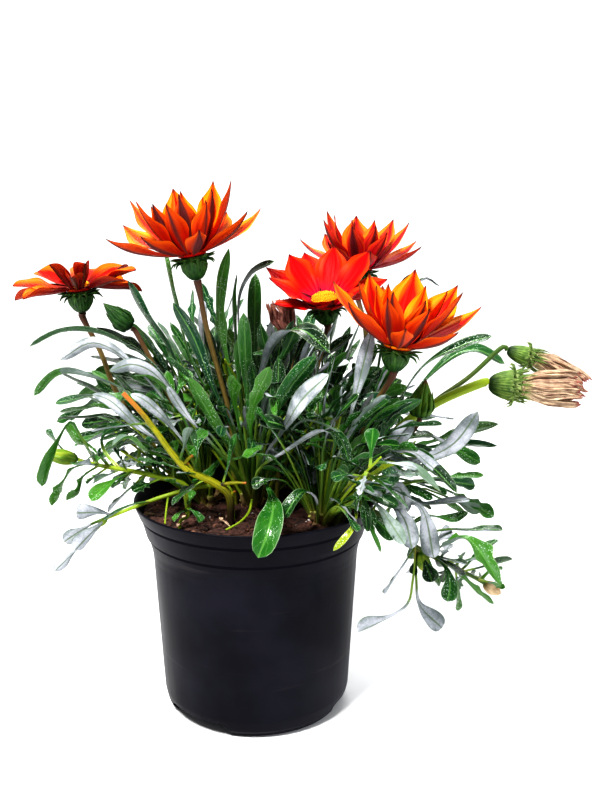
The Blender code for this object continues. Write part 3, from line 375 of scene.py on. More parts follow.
def tube_patch(spine: Array, radii: Array, sides: int) -> tuple[Array, Faces]:
    """Round stem: at each point of the spine a ring of the given radius, square to the spine.

    The rings are turned from one point to the next by the least turn, so the tube doesn't twist.

    Args:
        spine: Points along the middle.
        radii: Radius at each.
        sides: Points in a ring.

    Returns:
        Points and faces.
    """
    along = unit(np.gradient(spine, axis=0))
    side = np.zeros_like(spine)
    side[0] = unit(np.cross(along[0], [0.31, 0.92, 0.23]))
    for i in range(1, len(spine)):
        side[i] = unit(side[i - 1] - along[i] * (side[i - 1] @ along[i]))
    other = np.cross(along, side)
    bearing = np.linspace(0, FULL_TURN, sides, endpoint=False)
    rings = spine[:, None] + np.asarray(radii)[:, None, None] * (
        side[:, None] * np.cos(bearing)[:, None] + other[:, None] * np.sin(bearing)[:, None])
    return rings.reshape(-1, 3), ring_faces(len(spine), sides, False)


def turned_patch(profile: Array, sides: int,
                 change: Callable[[Array, Array], Array] | None = None) -> tuple[Array, Faces]:
    """Turned surface, closed by its profile's end points on the axis.

    Args:
        profile: (radius, height) from the axis at the top, down the outside, to the axis.
        sides: Points in a ring.
        change: Factor on the radius, worked out from the bearings and the heights.

    Returns:
        Points (radius * cos, radius * sin, height) and faces.
    """
    inner = np.array(profile, float)[1:-1]
    bearing = np.linspace(0, FULL_TURN, sides, endpoint=False)[None, :]
    height = np.repeat(inner[:, 1:2], sides, axis=1)
    radius = inner[:, 0:1] * (change(bearing, height) if change else 1.0)
    rings = np.stack([radius * np.cos(bearing), radius * np.sin(bearing), height], -1)
    ends = np.array([[0.0, 0.0, profile[0][1]], [0.0, 0.0, profile[-1][1]]])
    return np.vstack([rings.reshape(-1, 3), ends]), ring_faces(len(inner), sides, True, True, True)


def round_profile(points: Sequence[Pair], cut: float) -> Array:
    """Profile with its inner corners rounded: each is swapped for four points of a quadratic arc.

    Args:
        points: (radius, height) corners.
        cut: How far from a corner its arc starts, but less than half the way to the next corner.

    Returns:
        The new profile.
    """
    points = [np.array(p, float) for p in points]
    made = [points[0]]
    for before, corner, after in zip(points, points[1:], points[2:]):
        start, end = (corner + (other - corner) * min(cut / np.linalg.norm(other - corner), 0.45)
                      for other in (before, after))
        for s in (0.0, 0.33, 0.67, 1.0):
            made.append(start * (1 - s) ** 2 + corner * 2 * s * (1 - s) + end * s * s)
    return np.array(made + [points[-1]])


def axis_frame(seat: Array, axis: Array) -> Place:
    """Turn and shift that stand a turned piece on its seat, with its own +Z along the axis."""
    return np.array(Vector(axis).to_track_quat("Z", "Y").to_matrix()), np.array(seat, float)


def placed(points: Array, place: Place) -> Array:
    """Points turned and shifted into a piece's place."""
    return points @ place[0].T + place[1]


class Value:
    """Number or colour that a node gives; plain arithmetic on it adds Math nodes to its material."""

    def __init__(self, finish: "Finish", socket: Socket) -> None:
        """Keeps the material's graph and the node's output."""
        self.finish, self.socket = finish, socket

    def __add__(self, other: object) -> "Value":
        """Sum of the two."""
        return self.finish.math("ADD", self, other)

    def __sub__(self, other: object) -> "Value":
        """This less the other."""
        return self.finish.math("SUBTRACT", self, other)

    def __rsub__(self, other: object) -> "Value":
        """The other less this."""
        return self.finish.math("SUBTRACT", other, self)

    def __mul__(self, other: object) -> "Value":
        """Product of the two."""
        return self.finish.math("MULTIPLY", self, other)

    def __abs__(self) -> "Value":
        """Distance from 0."""
        return self.finish.math("ABSOLUTE", self)


class Finish:
    """Node graph of one material, built by short calls that return values."""

    def __init__(self, name: str) -> None:
        """Starts a material of that name around its Principled shader.

        Args:
            name: Name of the material.
        """
        self.material = bpy.data.materials.new(name)
        self.material.use_nodes = True
        self.tree = self.material.node_tree
        self.shader = self.tree.nodes["Principled BSDF"]

    def node(self, kind: str, feeds: dict[int | str, object], **settings: object) -> bpy.types.Node:
        """Adds a node, sets its properties, and feeds its inputs with values or plain numbers.

        Args:
            kind: Its type, without ShaderNode.
            feeds: What goes into each input, by the input's index or name.
            **settings: Its properties.

        Returns:
            The node.
        """
        made = self.tree.nodes.new("ShaderNode" + kind)
        for key, value in settings.items():
            setattr(made, key, value)
        for key, value in feeds.items():
            self.feed(made.inputs[key], value)
        return made

    def feed(self, entry: Socket, value: object) -> None:
        """Links an input to a value, or sets the input's own number or colour.

        Args:
            entry: The input.
            value: What goes into it.
        """
        if isinstance(value, Value):
            self.tree.links.new(value.socket, entry)
        elif entry.type == "RGBA":
            entry.default_value = (*value, 1.0)
        else:
            entry.default_value = value

    def read(self, kind: str, output: int | str, feeds: dict[int | str, object], **settings: object) -> Value:
        """One output of a new node."""
        return Value(self, self.node(kind, feeds, **settings).outputs[output])

    def fields(self) -> list[Value]:
        """The numbers that the mesh carries at its points: across, along, side and tint."""
        return [self.read("Attribute", "Fac", {}, attribute_name=name) for name in Shape.FIELDS]

    def place(self) -> Value:
        """Object coordinates, in metres; every piece stands at the origin."""
        return self.read("TexCoord", "Object", {})

    def math(self, how: str, a: object, b: object = 0.0) -> Value:
        """Result of one Math node."""
        return self.read("Math", 0, {0: a, 1: b}, operation=how)

    def noise(self, scale: float, detail: float = 3.0, where: Value | None = None) -> Value:
        """Noise from 0 to 1, on Object coordinates or on a given vector."""
        return self.read("TexNoise", 0, {"Vector": where or self.place(), "Scale": scale, "Detail": detail})

    def strands(self, x: Value, y: Value, z: Value) -> Value:
        """Noise read at three numbers of the mesh, to run along a blade."""
        return self.noise(1.0, 4.0, self.read("CombineXYZ", 0, {0: x, 1: y, 2: z}))

    def stretched(self, detail: float, *scale: float) -> Value:
        """Noise on Object coordinates that are scaled along each axis."""
        return self.noise(1.0, detail, self.read("Mapping", 0, {"Vector": self.place(), "Scale": scale}))

    def paint(self, base: object, *coats: tuple[object, object]) -> Value:
        """Colour with coats on it, in their order, each as (share that it covers, colour).

        Args:
            base: Colour beneath.
            *coats: The coats, from below.

        Returns:
            The colour.
        """
        for share, colour in coats:
            base = self.read("Mix", 2, {0: share, 6: base, 7: colour}, data_type="RGBA", blend_type="MIX")
        return base

    def ramp(self, value: Value, *stops: tuple[float, Colour]) -> Value:
        """Colour read from a ramp of (position, colour) stops.

        Args:
            value: Position on the ramp.
            *stops: The stops, in order.

        Returns:
            The colour.
        """
        made = self.node("ValToRGB", {0: value})
        while len(made.color_ramp.elements) < len(stops):
            made.color_ramp.elements.new(0.5)
        for element, (position, colour) in zip(made.color_ramp.elements, stops):
            element.position = position
            element.color = (*colour, 1.0)
        return Value(self, made.outputs[0])

    def fade(self, value: Value, low: float, high: float, at_low: float = 0.0, at_high: float = 1.0) -> Value:
        """Number that goes smoothly from at_low to at_high as the value goes from low to high."""
        return self.read("MapRange", 0, {0: value, 1: low, 2: high, 3: at_low, 4: at_high},
                         interpolation_type="SMOOTHSTEP")

    def bump(self, height: Value, distance: float, strength: float = 1.0) -> None:
        """Relief of the given depth, in metres."""
        self.feed(self.shader.inputs["Normal"],
                  self.read("Bump", 0, {"Height": height, "Distance": distance, "Strength": strength}))

    def dress(self, colour: object, rough: object, **plain: object) -> bpy.types.Material:
        """Feeds the shader and returns the material; plain values are named as the shader's inputs are.

        Args:
            colour: Base colour.
            rough: Roughness.
            **plain: Other inputs, by name with _ for a space.

        Returns:
            The material.
        """
        for key, value in {"Base_Color": colour, "Roughness": rough, **plain}.items():
            self.feed(self.shader.inputs[key.replace("_", " ")], value)
        return self.material


@dataclass(frozen=True)
class LeafFinish:
    """Glossy green above with a pale edge and rib and painted glint dots, silver felt beneath with a dark rib
    and veins.
    """

    name: str = "leaf"
    shadow: Colour = (0.002, 0.020, 0.004)
    green: Colour = (0.015, 0.108, 0.010)
    bright: Colour = (0.062, 0.205, 0.018)
    cool: Colour = (0.004, 0.052, 0.026)
    rib: Colour = (0.14, 0.34, 0.07)
    margin: Colour = (0.34, 0.46, 0.25)
    stalk: Colour = (0.24, 0.37, 0.045)
    stalk_dark: Colour = (0.060, 0.15, 0.015)
    root: Colour = (0.30, 0.27, 0.060)
    yellow: Colour = (0.30, 0.36, 0.015)
    felt: Colour = (0.54, 0.56, 0.62)
    felt_shade: Colour = (0.17, 0.20, 0.21)
    # Pale colour of the glint dots: a painted highlight on wet spots
    dew_glint: Colour = (0.60, 0.72, 0.62)
    felt_green: Colour = (0.08, 0.16, 0.08)
    felt_rib: Colour = (0.12, 0.19, 0.09)

    def build(self) -> bpy.types.Material:
        """Material that reads the four numbers of each leaf.

        Returns:
            The material.
        """
        f = Finish(self.name)
        across, along, side, tint = f.fields()
        edge, mottle = abs(across), f.noise(130.0, 4.0)
        veins = f.fade(f.math("SINE", along * 52.0 - edge * 9.0 + f.noise(210.0, 2.0) * 7.0), 0.80, 1.0)
        middle = f.fade(edge, 0.05, 0.16, 1.0, 0.0)
        # The voronoi's distance is low near scattered points, which stand for drops of dew; the pale dots
        # painted there are their glints, a painted highlight
        drops = f.read("TexVoronoi", 0, {"Vector": f.place(), "Scale": 850.0})
        glint_spots = f.fade(drops, 0.16, 0.30, 1.0, 0.0) * f.fade(f.noise(55.0, 2.0), 0.44, 0.60)
        shade = tint * 0.75 + mottle * 0.35
        top = f.paint(f.ramp(shade, (0.17, self.shadow), (0.56, self.green), (0.90, self.bright)),
                      (f.fade(f.math("FRACT", tint * 7.3), 0.68, 0.97, 0.0, 0.75), self.cool),
                      (f.fade(tint, 1.0, 1.3), self.yellow),
                      (veins * 0.16, self.rib),
                      (middle * 0.55, self.rib),
                      (f.fade(edge, 0.90, 1.0, 0.0, 0.75), self.margin),
                      # Painted highlight: pale glint dots of dew on the upper face
                      (glint_spots * 0.85, self.dew_glint))
        uneven = f.noise(75.0) + f.noise(900.0, 2.0) * 0.25 - f.fade(edge, 0.45, 1.0) * 0.10
        felt = f.paint(self.felt_shade,
                       (f.fade(uneven, 0.42, 0.78), self.felt),
                       (f.fade(tint, 0.45, 1.0, 0.0, 0.75), self.felt_green),
                       (veins * 0.12, self.felt_rib),
                       (f.fade(edge, 0.05, 0.14, 0.8, 0.0), self.felt_rib),
                       (f.fade(edge, 0.88, 1.0, 0.0, 0.5), self.green))
        colour = f.paint(self.stalk_dark,
                         (f.fade(f.math("FRACT", tint * 3.7), 0.2, 0.8), self.stalk),
                         (f.fade(along, -1.0, -0.6, 1.0, 0.0), self.root),
                         (f.fade(along, -0.5, 0.2, 0.0, 0.6), top),
                         (f.fade(along, -0.12, 0.06), f.paint(felt, (f.fade(side, 0.40, 0.60), top))))
        f.bump(veins * -0.5 + f.noise(700.0) * 0.9 - middle, 0.0003, 0.7)
        rough = side * (mottle * 0.24 + 0.12) + (1.0 - side) * 0.85
        return f.dress(colour, rough, Specular_IOR_Level=0.5)


@dataclass(frozen=True)
class PetalFinish:
    """Ray petal: a stripe up the middle, brighter margins, a dark pointed tip and a keel outside."""

    name: str
    stripe: Colour
    flesh: Colour
    margin: Colour
    heart: Colour
    keel: Colour = (0.130, 0.030, 0.032)
    keel_edge: Colour = (0.34, 0.040, 0.014)
    # Underside colour: partly the petal's own colour, partly painted shade
    under: Colour = (0.30, 0.004, 0.004)
    tip: Colour = (0.060, 0.010, 0.014)
    stripe_width: float = 0.55
    heart_until: float = 0.45

    def build(self) -> bpy.types.Material:
        """Material that reads the four numbers of each petal.

        Returns:
            The material.
        """
        f = Finish(self.name)
        across, along, side, tint = f.fields()
        edge = abs(across)
        strands = f.strands(across * 11.0, along * 1.4, tint * 40.0)
        ragged = edge + (strands - 0.5) * 0.55
        reach = (tint * self.stripe_width + self.stripe_width * 0.4) * f.fade(along, 0.45, 0.95, 1.0, 0.35)
        inside = f.paint(self.stripe,
                         (f.fade(ragged - reach, -0.14, 0.12), self.flesh),
                         (f.fade(ragged, 0.36, 0.80) * f.fade(along, 0.25, 0.6), self.margin),
                         (f.fade(along, 0.06, self.heart_until, 0.9, 0.0), self.heart))
        back = ragged - tint * 0.34
        # The underside, deeper towards the root: partly the petal's own colour, partly painted shade where it
        # faces down
        outside = f.paint(self.flesh,
                          (f.fade(along, 0.35, 1.0, 1.0, 0.35), self.under),
                          (f.fade(ragged, 0.70, 1.0, 0.0, 0.7) * f.fade(along, 0.2, 0.6), self.flesh),
                          (f.fade(back, 0.06, 0.42, 1.0, 0.0), self.keel_edge),
                          (f.fade(back, 0.00, 0.22, 1.0, 0.0), self.keel))
        colour = f.paint(outside,
                         (f.fade(side, 0.35, 0.65), inside),
                         (f.fade(along, 0.90, 1.0, 0.0, 0.9), self.tip),
                         (f.fade(edge, 0.90, 1.0) * f.fade(along, 0.55, 0.9) * 0.65, self.tip))
        f.bump(f.math("SINE", across * 15.0) * 0.35 + strands, 0.0005, 0.8)
        return f.dress(colour, strands * 0.22 + 0.40, Specular_IOR_Level=0.12)


@dataclass(frozen=True)
class StrandFinish:
    """Stems, bracts, buds and dry petals: streaks along the piece between a few colours."""

    name: str
    low: Colour
    high: Colour
    root: Colour
    tip: Colour
    root_until: float = 0.3
    tip_from: float = 0.7
    rough: float = 0.5
    relief: float = 0.00025
    streaks: float = 9.0
    root_from: float = 0.0

    def build(self) -> bpy.types.Material:
        """Material with streaks, and with its own colours at the root and at the tip.

        Returns:
            The material.
        """
        f = Finish(self.name)
        across, along, _, tint = f.fields()
        streak = f.strands(across * self.streaks, along * 3.0, tint * 30.0)
        mottle = f.noise(260.0)
        colour = f.paint(self.low,
                         (f.fade(streak * 0.7 + mottle * 0.3, 0.30, 0.70), self.high),
                         (f.fade(along, self.root_from, self.root_until, 1.0, 0.0), self.root),
                         (f.fade(along, self.tip_from, 1.0), self.tip))
        f.bump(streak + f.noise(1800.0, 2.0) * 0.4, self.relief)
        return f.dress(colour, mottle * 0.15 + self.rough, Specular_IOR_Level=0.3)


@dataclass(frozen=True)
class PotFinish:
    """Black moulded plastic: satin, with fine upright flow marks, dust, a few scuffs and painted shade in
    thin black bands under the two steps.
    """

    name: str = "pot_plastic"
    black: Colour = (0.0058, 0.0058, 0.0100)
    worn: Colour = (0.0130, 0.0130, 0.0215)
    dust: Colour = (0.10, 0.085, 0.08)
    # Heights, in metres, of the painted shade under the two steps of the collar
    shade_heights: Pair = (0.1243, 0.1117)

    def build(self) -> bpy.types.Material:
        """Material on Object coordinates; the painted shade bands are at heights in metres.

        Returns:
            The material.
        """
        f = Finish(self.name)
        flow = f.stretched(4.0, 120.0, 120.0, 9.0)
        colour = f.paint(self.black,
                         (f.fade(f.noise(22.0, 4.0), 0.35, 0.75), self.worn),
                         (f.fade(f.stretched(5.0, 14.0, 14.0, 150.0), 0.62, 0.76, 0.0, 0.16), self.dust))
        f.bump(flow + f.noise(900.0, 2.0) * 0.3, 0.00018, 0.6)
        rough = flow * 0.18 + 0.30
        # Painted shade: thin black, matt bands at the two step heights under the lip, where the ledges cast
        # shadow
        for height in self.shade_heights:
            step_shade = f.fade(abs(f.read("SeparateXYZ", 2, {0: f.place()}) - height), 0.0007, 0.0013, 1.0, 0.0)
            rough = rough + step_shade
            colour = f.paint(colour, (step_shade, self.black))
        return f.dress(colour, rough, Specular_IOR_Level=0.08)


@dataclass(frozen=True)
class SoilFinish:
    """Damp potting soil: dark red-brown peat, with paler fibres and grit."""

    name: str = "soil"
    peat: Colour = (0.020, 0.009, 0.007)
    brown: Colour = (0.105, 0.045, 0.032)
    fibre: Colour = (0.26, 0.14, 0.10)

    def build(self) -> bpy.types.Material:
        """Material on Object coordinates.

        Returns:
            The material.
        """
        f = Finish(self.name)
        grain, clod = f.noise(420.0, 5.0), f.noise(95.0)
        colour = f.paint(self.peat,
                         (f.fade(grain * 0.6 + clod * 0.4, 0.36, 0.66), self.brown),
                         (f.fade(f.noise(760.0, 4.0), 0.62, 0.74, 0.0, 0.7), self.fibre))
        f.bump(grain + clod, 0.0009)
        return f.dress(colour, 0.88)


@dataclass(frozen=True)
class GritFinish:
    """Loose grit: clods, bark and white perlite, by the tint of each grain."""

    name: str = "grit"
    peat: Colour = (0.028, 0.012, 0.009)
    brown: Colour = (0.15, 0.065, 0.045)
    bark: Colour = (0.30, 0.15, 0.09)
    perlite: Colour = (0.62, 0.58, 0.56)

    def build(self) -> bpy.types.Material:
        """Material whose colour steps with the tint of each grain.

        Returns:
            The material.
        """
        f = Finish(self.name)
        grains = f.ramp(f.fields()[3], (0.0, self.peat), (0.60, self.brown), (0.86, self.bark),
                        (0.93, self.bark), (0.95, self.perlite))
        f.bump(f.noise(1400.0, 4.0), 0.0005)
        return f.dress(f.paint(grains, (f.noise(1100.0, 4.0) * 0.6, self.peat)), 0.85)


@dataclass(frozen=True)
class WaterFinish:
    """Clear water drops."""

    name: str = "water"

    def build(self) -> bpy.types.Material:
        """Clear material with the refraction of water."""
        return Finish(self.name).dress((1.0, 1.0, 1.0), 0.02, Transmission_Weight=1.0, IOR=1.33)


FINISHES = (
    LeafFinish(),
    PetalFinish("orange_petal", (0.60, 0.006, 0.001), (0.82, 0.125, 0.002), (0.90, 0.31, 0.005),
                (0.26, 0.001, 0.004), under=(0.42, 0.018, 0.004), stripe_width=0.46),
    PetalFinish("ember_petal", (0.36, 0.005, 0.001), (0.62, 0.058, 0.003), (0.80, 0.17, 0.006),
                (0.12, 0.001, 0.002), (0.10, 0.022, 0.010), (0.20, 0.006, 0.004), (0.17, 0.002, 0.002),
                stripe_width=0.60),
    PetalFinish("red_petal", (0.53, 0.001, 0.003), (0.64, 0.005, 0.002), (0.72, 0.050, 0.004),
                (0.34, 0.002, 0.040), stripe_width=0.9, heart_until=0.36),
    PetalFinish("rose_petal", (0.55, 0.005, 0.022), (0.72, 0.060, 0.010), (0.86, 0.25, 0.018),
                (0.36, 0.002, 0.045), (0.15, 0.018, 0.028), under=(0.40, 0.003, 0.020), stripe_width=0.80),
    StrandFinish("flower_stem", (0.095, 0.064, 0.018), (0.23, 0.165, 0.048), (0.22, 0.24, 0.026),
                 (0.095, 0.040, 0.024), 0.55, 0.75, 0.40),
    StrandFinish("green_stem", (0.16, 0.28, 0.012), (0.36, 0.44, 0.030), (0.12, 0.20, 0.012),
                 (0.30, 0.42, 0.025), 0.3, 0.8, 0.35),
    StrandFinish("old_stem", (0.10, 0.13, 0.006), (0.40, 0.37, 0.010), (0.032, 0.020, 0.010),
                 (0.46, 0.15, 0.030), 0.36, 0.78, 0.4, root_from=0.16),
    StrandFinish("dark_stem", (0.030, 0.050, 0.012), (0.095, 0.14, 0.022), (0.15, 0.17, 0.02),
                 (0.060, 0.12, 0.02), 0.3, 0.7, 0.42),
    StrandFinish("bract", (0.006, 0.040, 0.007), (0.046, 0.13, 0.018), (0.010, 0.042, 0.008),
                 (0.080, 0.16, 0.030), 0.3, 0.6, 0.42),
    StrandFinish("dry_bract", (0.018, 0.075, 0.009), (0.21, 0.32, 0.07), (0.006, 0.028, 0.005),
                 (0.36, 0.42, 0.17), 0.40, 0.6, 0.5, 0.0004),
    StrandFinish("dry_petal", (0.17, 0.045, 0.036), (0.88, 0.72, 0.50), (0.66, 0.62, 0.32),
                 (0.26, 0.030, 0.022), 0.2, 0.88, 0.65, 0.0005, 7.0),
    StrandFinish("dry_brown", (0.12, 0.024, 0.022), (0.74, 0.37, 0.30), (0.20, 0.06, 0.04),
                 (0.58, 0.26, 0.18), 0.2, 0.7, 0.8, 0.0005, 4.0),
    StrandFinish("bud", (0.030, 0.11, 0.010), (0.14, 0.27, 0.025), (0.020, 0.075, 0.010),
                 (0.11, 0.014, 0.012), 0.25, 0.80, 0.42),
    StrandFinish("shaded_bud", (0.007, 0.042, 0.008), (0.034, 0.105, 0.018), (0.007, 0.032, 0.007),
                 (0.045, 0.10, 0.02), 0.25, 0.80, 0.42),
    StrandFinish("small_bud", (0.060, 0.17, 0.012), (0.26, 0.34, 0.030), (0.03, 0.10, 0.012),
                 (0.34, 0.36, 0.03), 0.2, 0.55, 0.4),
    StrandFinish("tan_bud", (0.34, 0.23, 0.12), (0.66, 0.52, 0.34), (0.20, 0.15, 0.05),
                 (0.48, 0.33, 0.18), 0.3, 0.7, 0.7, 0.0005),
    StrandFinish("crown", (0.10, 0.055, 0.030), (0.30, 0.22, 0.09), (0.07, 0.035, 0.02),
                 (0.26, 0.26, 0.07), 0.4, 0.8, 0.7),
    StrandFinish("floret", (0.58, 0.22, 0.008), (0.86, 0.46, 0.015), (0.30, 0.06, 0.010),
                 (0.90, 0.52, 0.020), 0.35, 0.7, 0.6),
    PotFinish(),
    SoilFinish(),
    GritFinish(),
    WaterFinish(),
)


class Shows(Enum):
    """Which surface of a leaf the photograph shows."""

    GREEN = "upper"
    SILVER = "lower"
    MIXED = "lower, with the tip turned back"
    BRIGHT = "upper, young and pale"
    YELLOW = "upper, faded"
    EITHER = "any"


GREEN, SILVER, MIXED, BRIGHT, YELLOW, EITHER = Shows


@dataclass(frozen=True)
class Leaf:
    """Path of a leaf in millimetres, with all that its blade needs."""

    path: Array
    half_width: float
    bare: float
    turns: Pair
    plan: Array
    outline: str
    shows: Shows = EITHER
    slim: float = 1.0
    twist: float = 0.0


@dataclass(frozen=True)
class Outline:
    """Shape of a blade: (share, width) points, the shares where its turn is held, and its stations."""

    points: tuple[Pair, ...]
    turns: tuple[float, ...]
    stations: int


OUTLINES = {
    "spoon": Outline(((0.14, 0.24), (0.32, 0.42), (0.48, 0.74), (0.62, 1.0), (0.76, 1.06), (0.88, 0.88),
                      (0.95, 0.55)), (0.42, 0.80), 20),
    "toothed": Outline(((0.12, 0.30), (0.24, 0.74), (0.32, 0.46), (0.44, 0.56), (0.54, 1.02), (0.62, 0.78),
                        (0.75, 1.08), (0.88, 0.80), (0.95, 0.46)), (0.24, 0.44, 0.72), 28),
    "lobed": Outline(((0.10, 0.32), (0.20, 0.97), (0.28, 0.54), (0.38, 0.40), (0.50, 0.66), (0.60, 1.04),
                      (0.69, 0.60), (0.80, 0.62), (0.90, 0.46)), (0.20, 0.38, 0.60, 0.80), 30),
}
LEAF_SLIM = 0.98
SILVER_SHARE = 0.15


def add_leaf(shape: Shape, leaf: Leaf, draw: Draw) -> None:
    """Adds one leaf: a bare stalk that widens into the blade, whose shown surface faces the photograph's eye.

    Args:
        shape: The crown's or the spray's leaves.
        leaf: The placed leaf.
        draw: Draws for its fold, its waves and its tint.
    """
    any_side = leaf.shows is EITHER
    outline = OUTLINES[leaf.outline]
    stalk = np.linspace(0, leaf.bare, 6 if any_side else 9, endpoint=False)
    blade = evenly(outline.stations)
    share = np.concatenate([stalk, leaf.bare + (1 - leaf.bare) * blade])
    held = [0.0, leaf.bare, *(leaf.bare + s * (1 - leaf.bare) for s in outline.turns), 1.0]
    turns = np.interp(share, held, np.linspace(leaf.turns[0], leaf.turns[1] + leaf.twist, len(held)))
    spine = smooth(leaf.path, share)
    side, face = frames(spine, leaf.plan, UP, turns)
    half = leaf.half_width * LEAF_SLIM * leaf.slim
    points = [(0.0, 0.95 / half), *outline.points, (1.0, 0.0)]
    width = np.concatenate([np.linspace(1.35, 0.95, len(stalk)), half * profile_curve(points, blade)])
    width[-1] = 0.0
    form = BladeForm(fold=draw.uniform(0.14, 0.46), curl=draw.uniform(1.2, 2.0),
                     wave=draw.uniform(0.05, 0.18), waves=draw.uniform(1.6, 3.6), cells=4 if any_side else 6)
    verts, faces, fields = form.patch(spine, side, face, np.maximum(width, 0.0), draw.uniform(0, 6.3))
    along = np.append(np.repeat(np.concatenate([stalk / leaf.bare - 1, blade])[:-1], 2 * form.cells), 1.0)
    middle = len(spine) - len(blade) // 2
    towards = face[middle] @ unit(np.array(CAMERA.eye) - spine[middle])
    shows = leaf.shows
    if any_side:
        shows = SILVER if draw.random() < SILVER_SHARE else GREEN
    over = fields["side"]
    if (shows in (SILVER, MIXED)) == (towards > 0):
        over = 1 - over
    if shows is MIXED:
        over = np.where(along > 0.66, 1 - over, over)
    tint = draw.random()
    tint = {YELLOW: 1.4, BRIGHT: 0.80 + 0.15 * tint, SILVER: 0.42 * tint}.get(leaf.shows, tint ** 1.3)
    shape.add(verts, faces, 0, fields["across"], along, over, tint)


def add_tube(shape: Shape, line: Array, radii: Array, sides: int, slot: int, tint: float) -> None:
    """Adds a stem whose streaks run along it.

    Args:
        shape: What it is part of.
        line: Points along its middle.
        radii: Radius at each.
        sides: Points in a ring.
        slot: Which of the shape's finishes it wears.
        tint: Its own shade.
    """
    points, faces = tube_patch(line, radii, sides)
    shape.add(points, faces, slot, np.tile(np.linspace(-1, 1, sides), len(line)),
              np.repeat(evenly(len(line)), sides), 1.0, tint)


def add_turned(shape: Shape, profile: Array, sides: int, place: Place, slot: int = 0, tint: float = 0.5,
               change: Callable[[Array, Array], Array] | None = None) -> None:
    """Adds a turned piece; along goes from 0 at its lowest height to 1 at its highest.

    Args:
        shape: What it is part of.
        profile: (radius, height) from the axis at the top, down the outside, to the axis.
        sides: Points in a ring.
        place: Its place.
        slot: Which of the shape's finishes it wears.
        tint: Its own shade.
        change: Factor on the radius, worked out from the bearings and the heights.
    """
    points, faces = turned_patch(profile, sides, change)
    height = points[:, 2]
    along = (height - height.min()) / max(np.ptp(height), 0.001)
    across = np.arctan2(points[:, 1], points[:, 0]) / math.pi
    shape.add(placed(points, place), faces, slot, across, along, 1.0, tint)


def add_spike(shape: Shape, form: BladeForm, spine: Array, out: Array, up: Array, width: Array, place: Place,
              tint: float, turns: Pair = (0, 0), phase: float = 0.0) -> None:
    """Adds a petal, bract tooth or needle, given in the frame of its own head.

    Args:
        shape: The head's petals or cup.
        form: Cross-section.
        spine: Points along the middle.
        out: Direction in which it runs.
        up: Direction that its face looks in.
        width: Half width at each point.
        place: Place of the head.
        tint: Its own shade.
        turns: Degrees by which it turns at its root and tip.
        phase: Shift of its waves, in radians.
    """
    side, face = frames(spine, out, up, turns)
    points, faces, fields = form.patch(spine, side, face, width, phase)
    along = np.append(np.repeat(evenly(len(spine))[:-1], 2 * form.cells), 1.0)
    shape.add(placed(points, place), faces, 0, fields["across"], along, fields["side"], tint)


def add_cup(shape: Shape, profile: Sequence[Pair], teeth: int, length: float, place: Place, draw: Draw,
            lobes: int = 0) -> None:
    """Adds a cup of fused bracts: a ribbed body, narrow teeth that curl outwards, and lobes under the petals.

    Args:
        shape: The cup.
        profile: (radius, height) of its outside from the mouth down.
        teeth: Number of teeth round the rim; every second one stands where the solid has one.
        length: Reach of the longest teeth.
        place: Its place.
        draw: Draws for the teeth.
        lobes: Number of broad lobes that lie along the petals.
    """
    body = round_profile([(0.0, profile[0][1]), *profile, (0.0, profile[-1][1])], 1.2)
    add_turned(shape, body, 8 * teeth, place, change=lambda t, z: 1 + 0.03 * np.cos(2 * teeth * t))
    rim, top = profile[1]
    form = BladeForm(thick=0.8, fold=0.15, cells=4, sweep=0.0)
    share = evenly(9)
    for number in range(teeth):
        out = level(FULL_TURN * (number + 1.0) / teeth)
        reach = length * (1.0, 0.85, 0.75, 0.85)[number % 4] * draw.uniform(0.9, 1.0)
        spine = smooth([out * (rim - 1.6) + UP * (top - 0.6), out * (rim + reach * 0.6) + UP * (top - 0.9),
                        out * (rim + reach) + UP * (top - 3.6)], share)
        add_spike(shape, form, spine, out, UP, 1.3 * (1 - share) ** 0.7, place, draw.random())
    for number in range(lobes):
        out = level(FULL_TURN * (number + draw.uniform(-0.15, 0.15)) / lobes)
        reach = draw.uniform(4.5, 7.0)
        spine = smooth([out * (rim - 2.4) + UP * (top - 2.2), out * (rim - 0.2) + UP * (top + 0.6),
                        out * (rim + reach) + UP * (top + draw.uniform(1.4, 2.6))], share)
        add_spike(shape, form, spine, out, UP, 1.9 * (1 - share ** 2.2), place, draw.random())


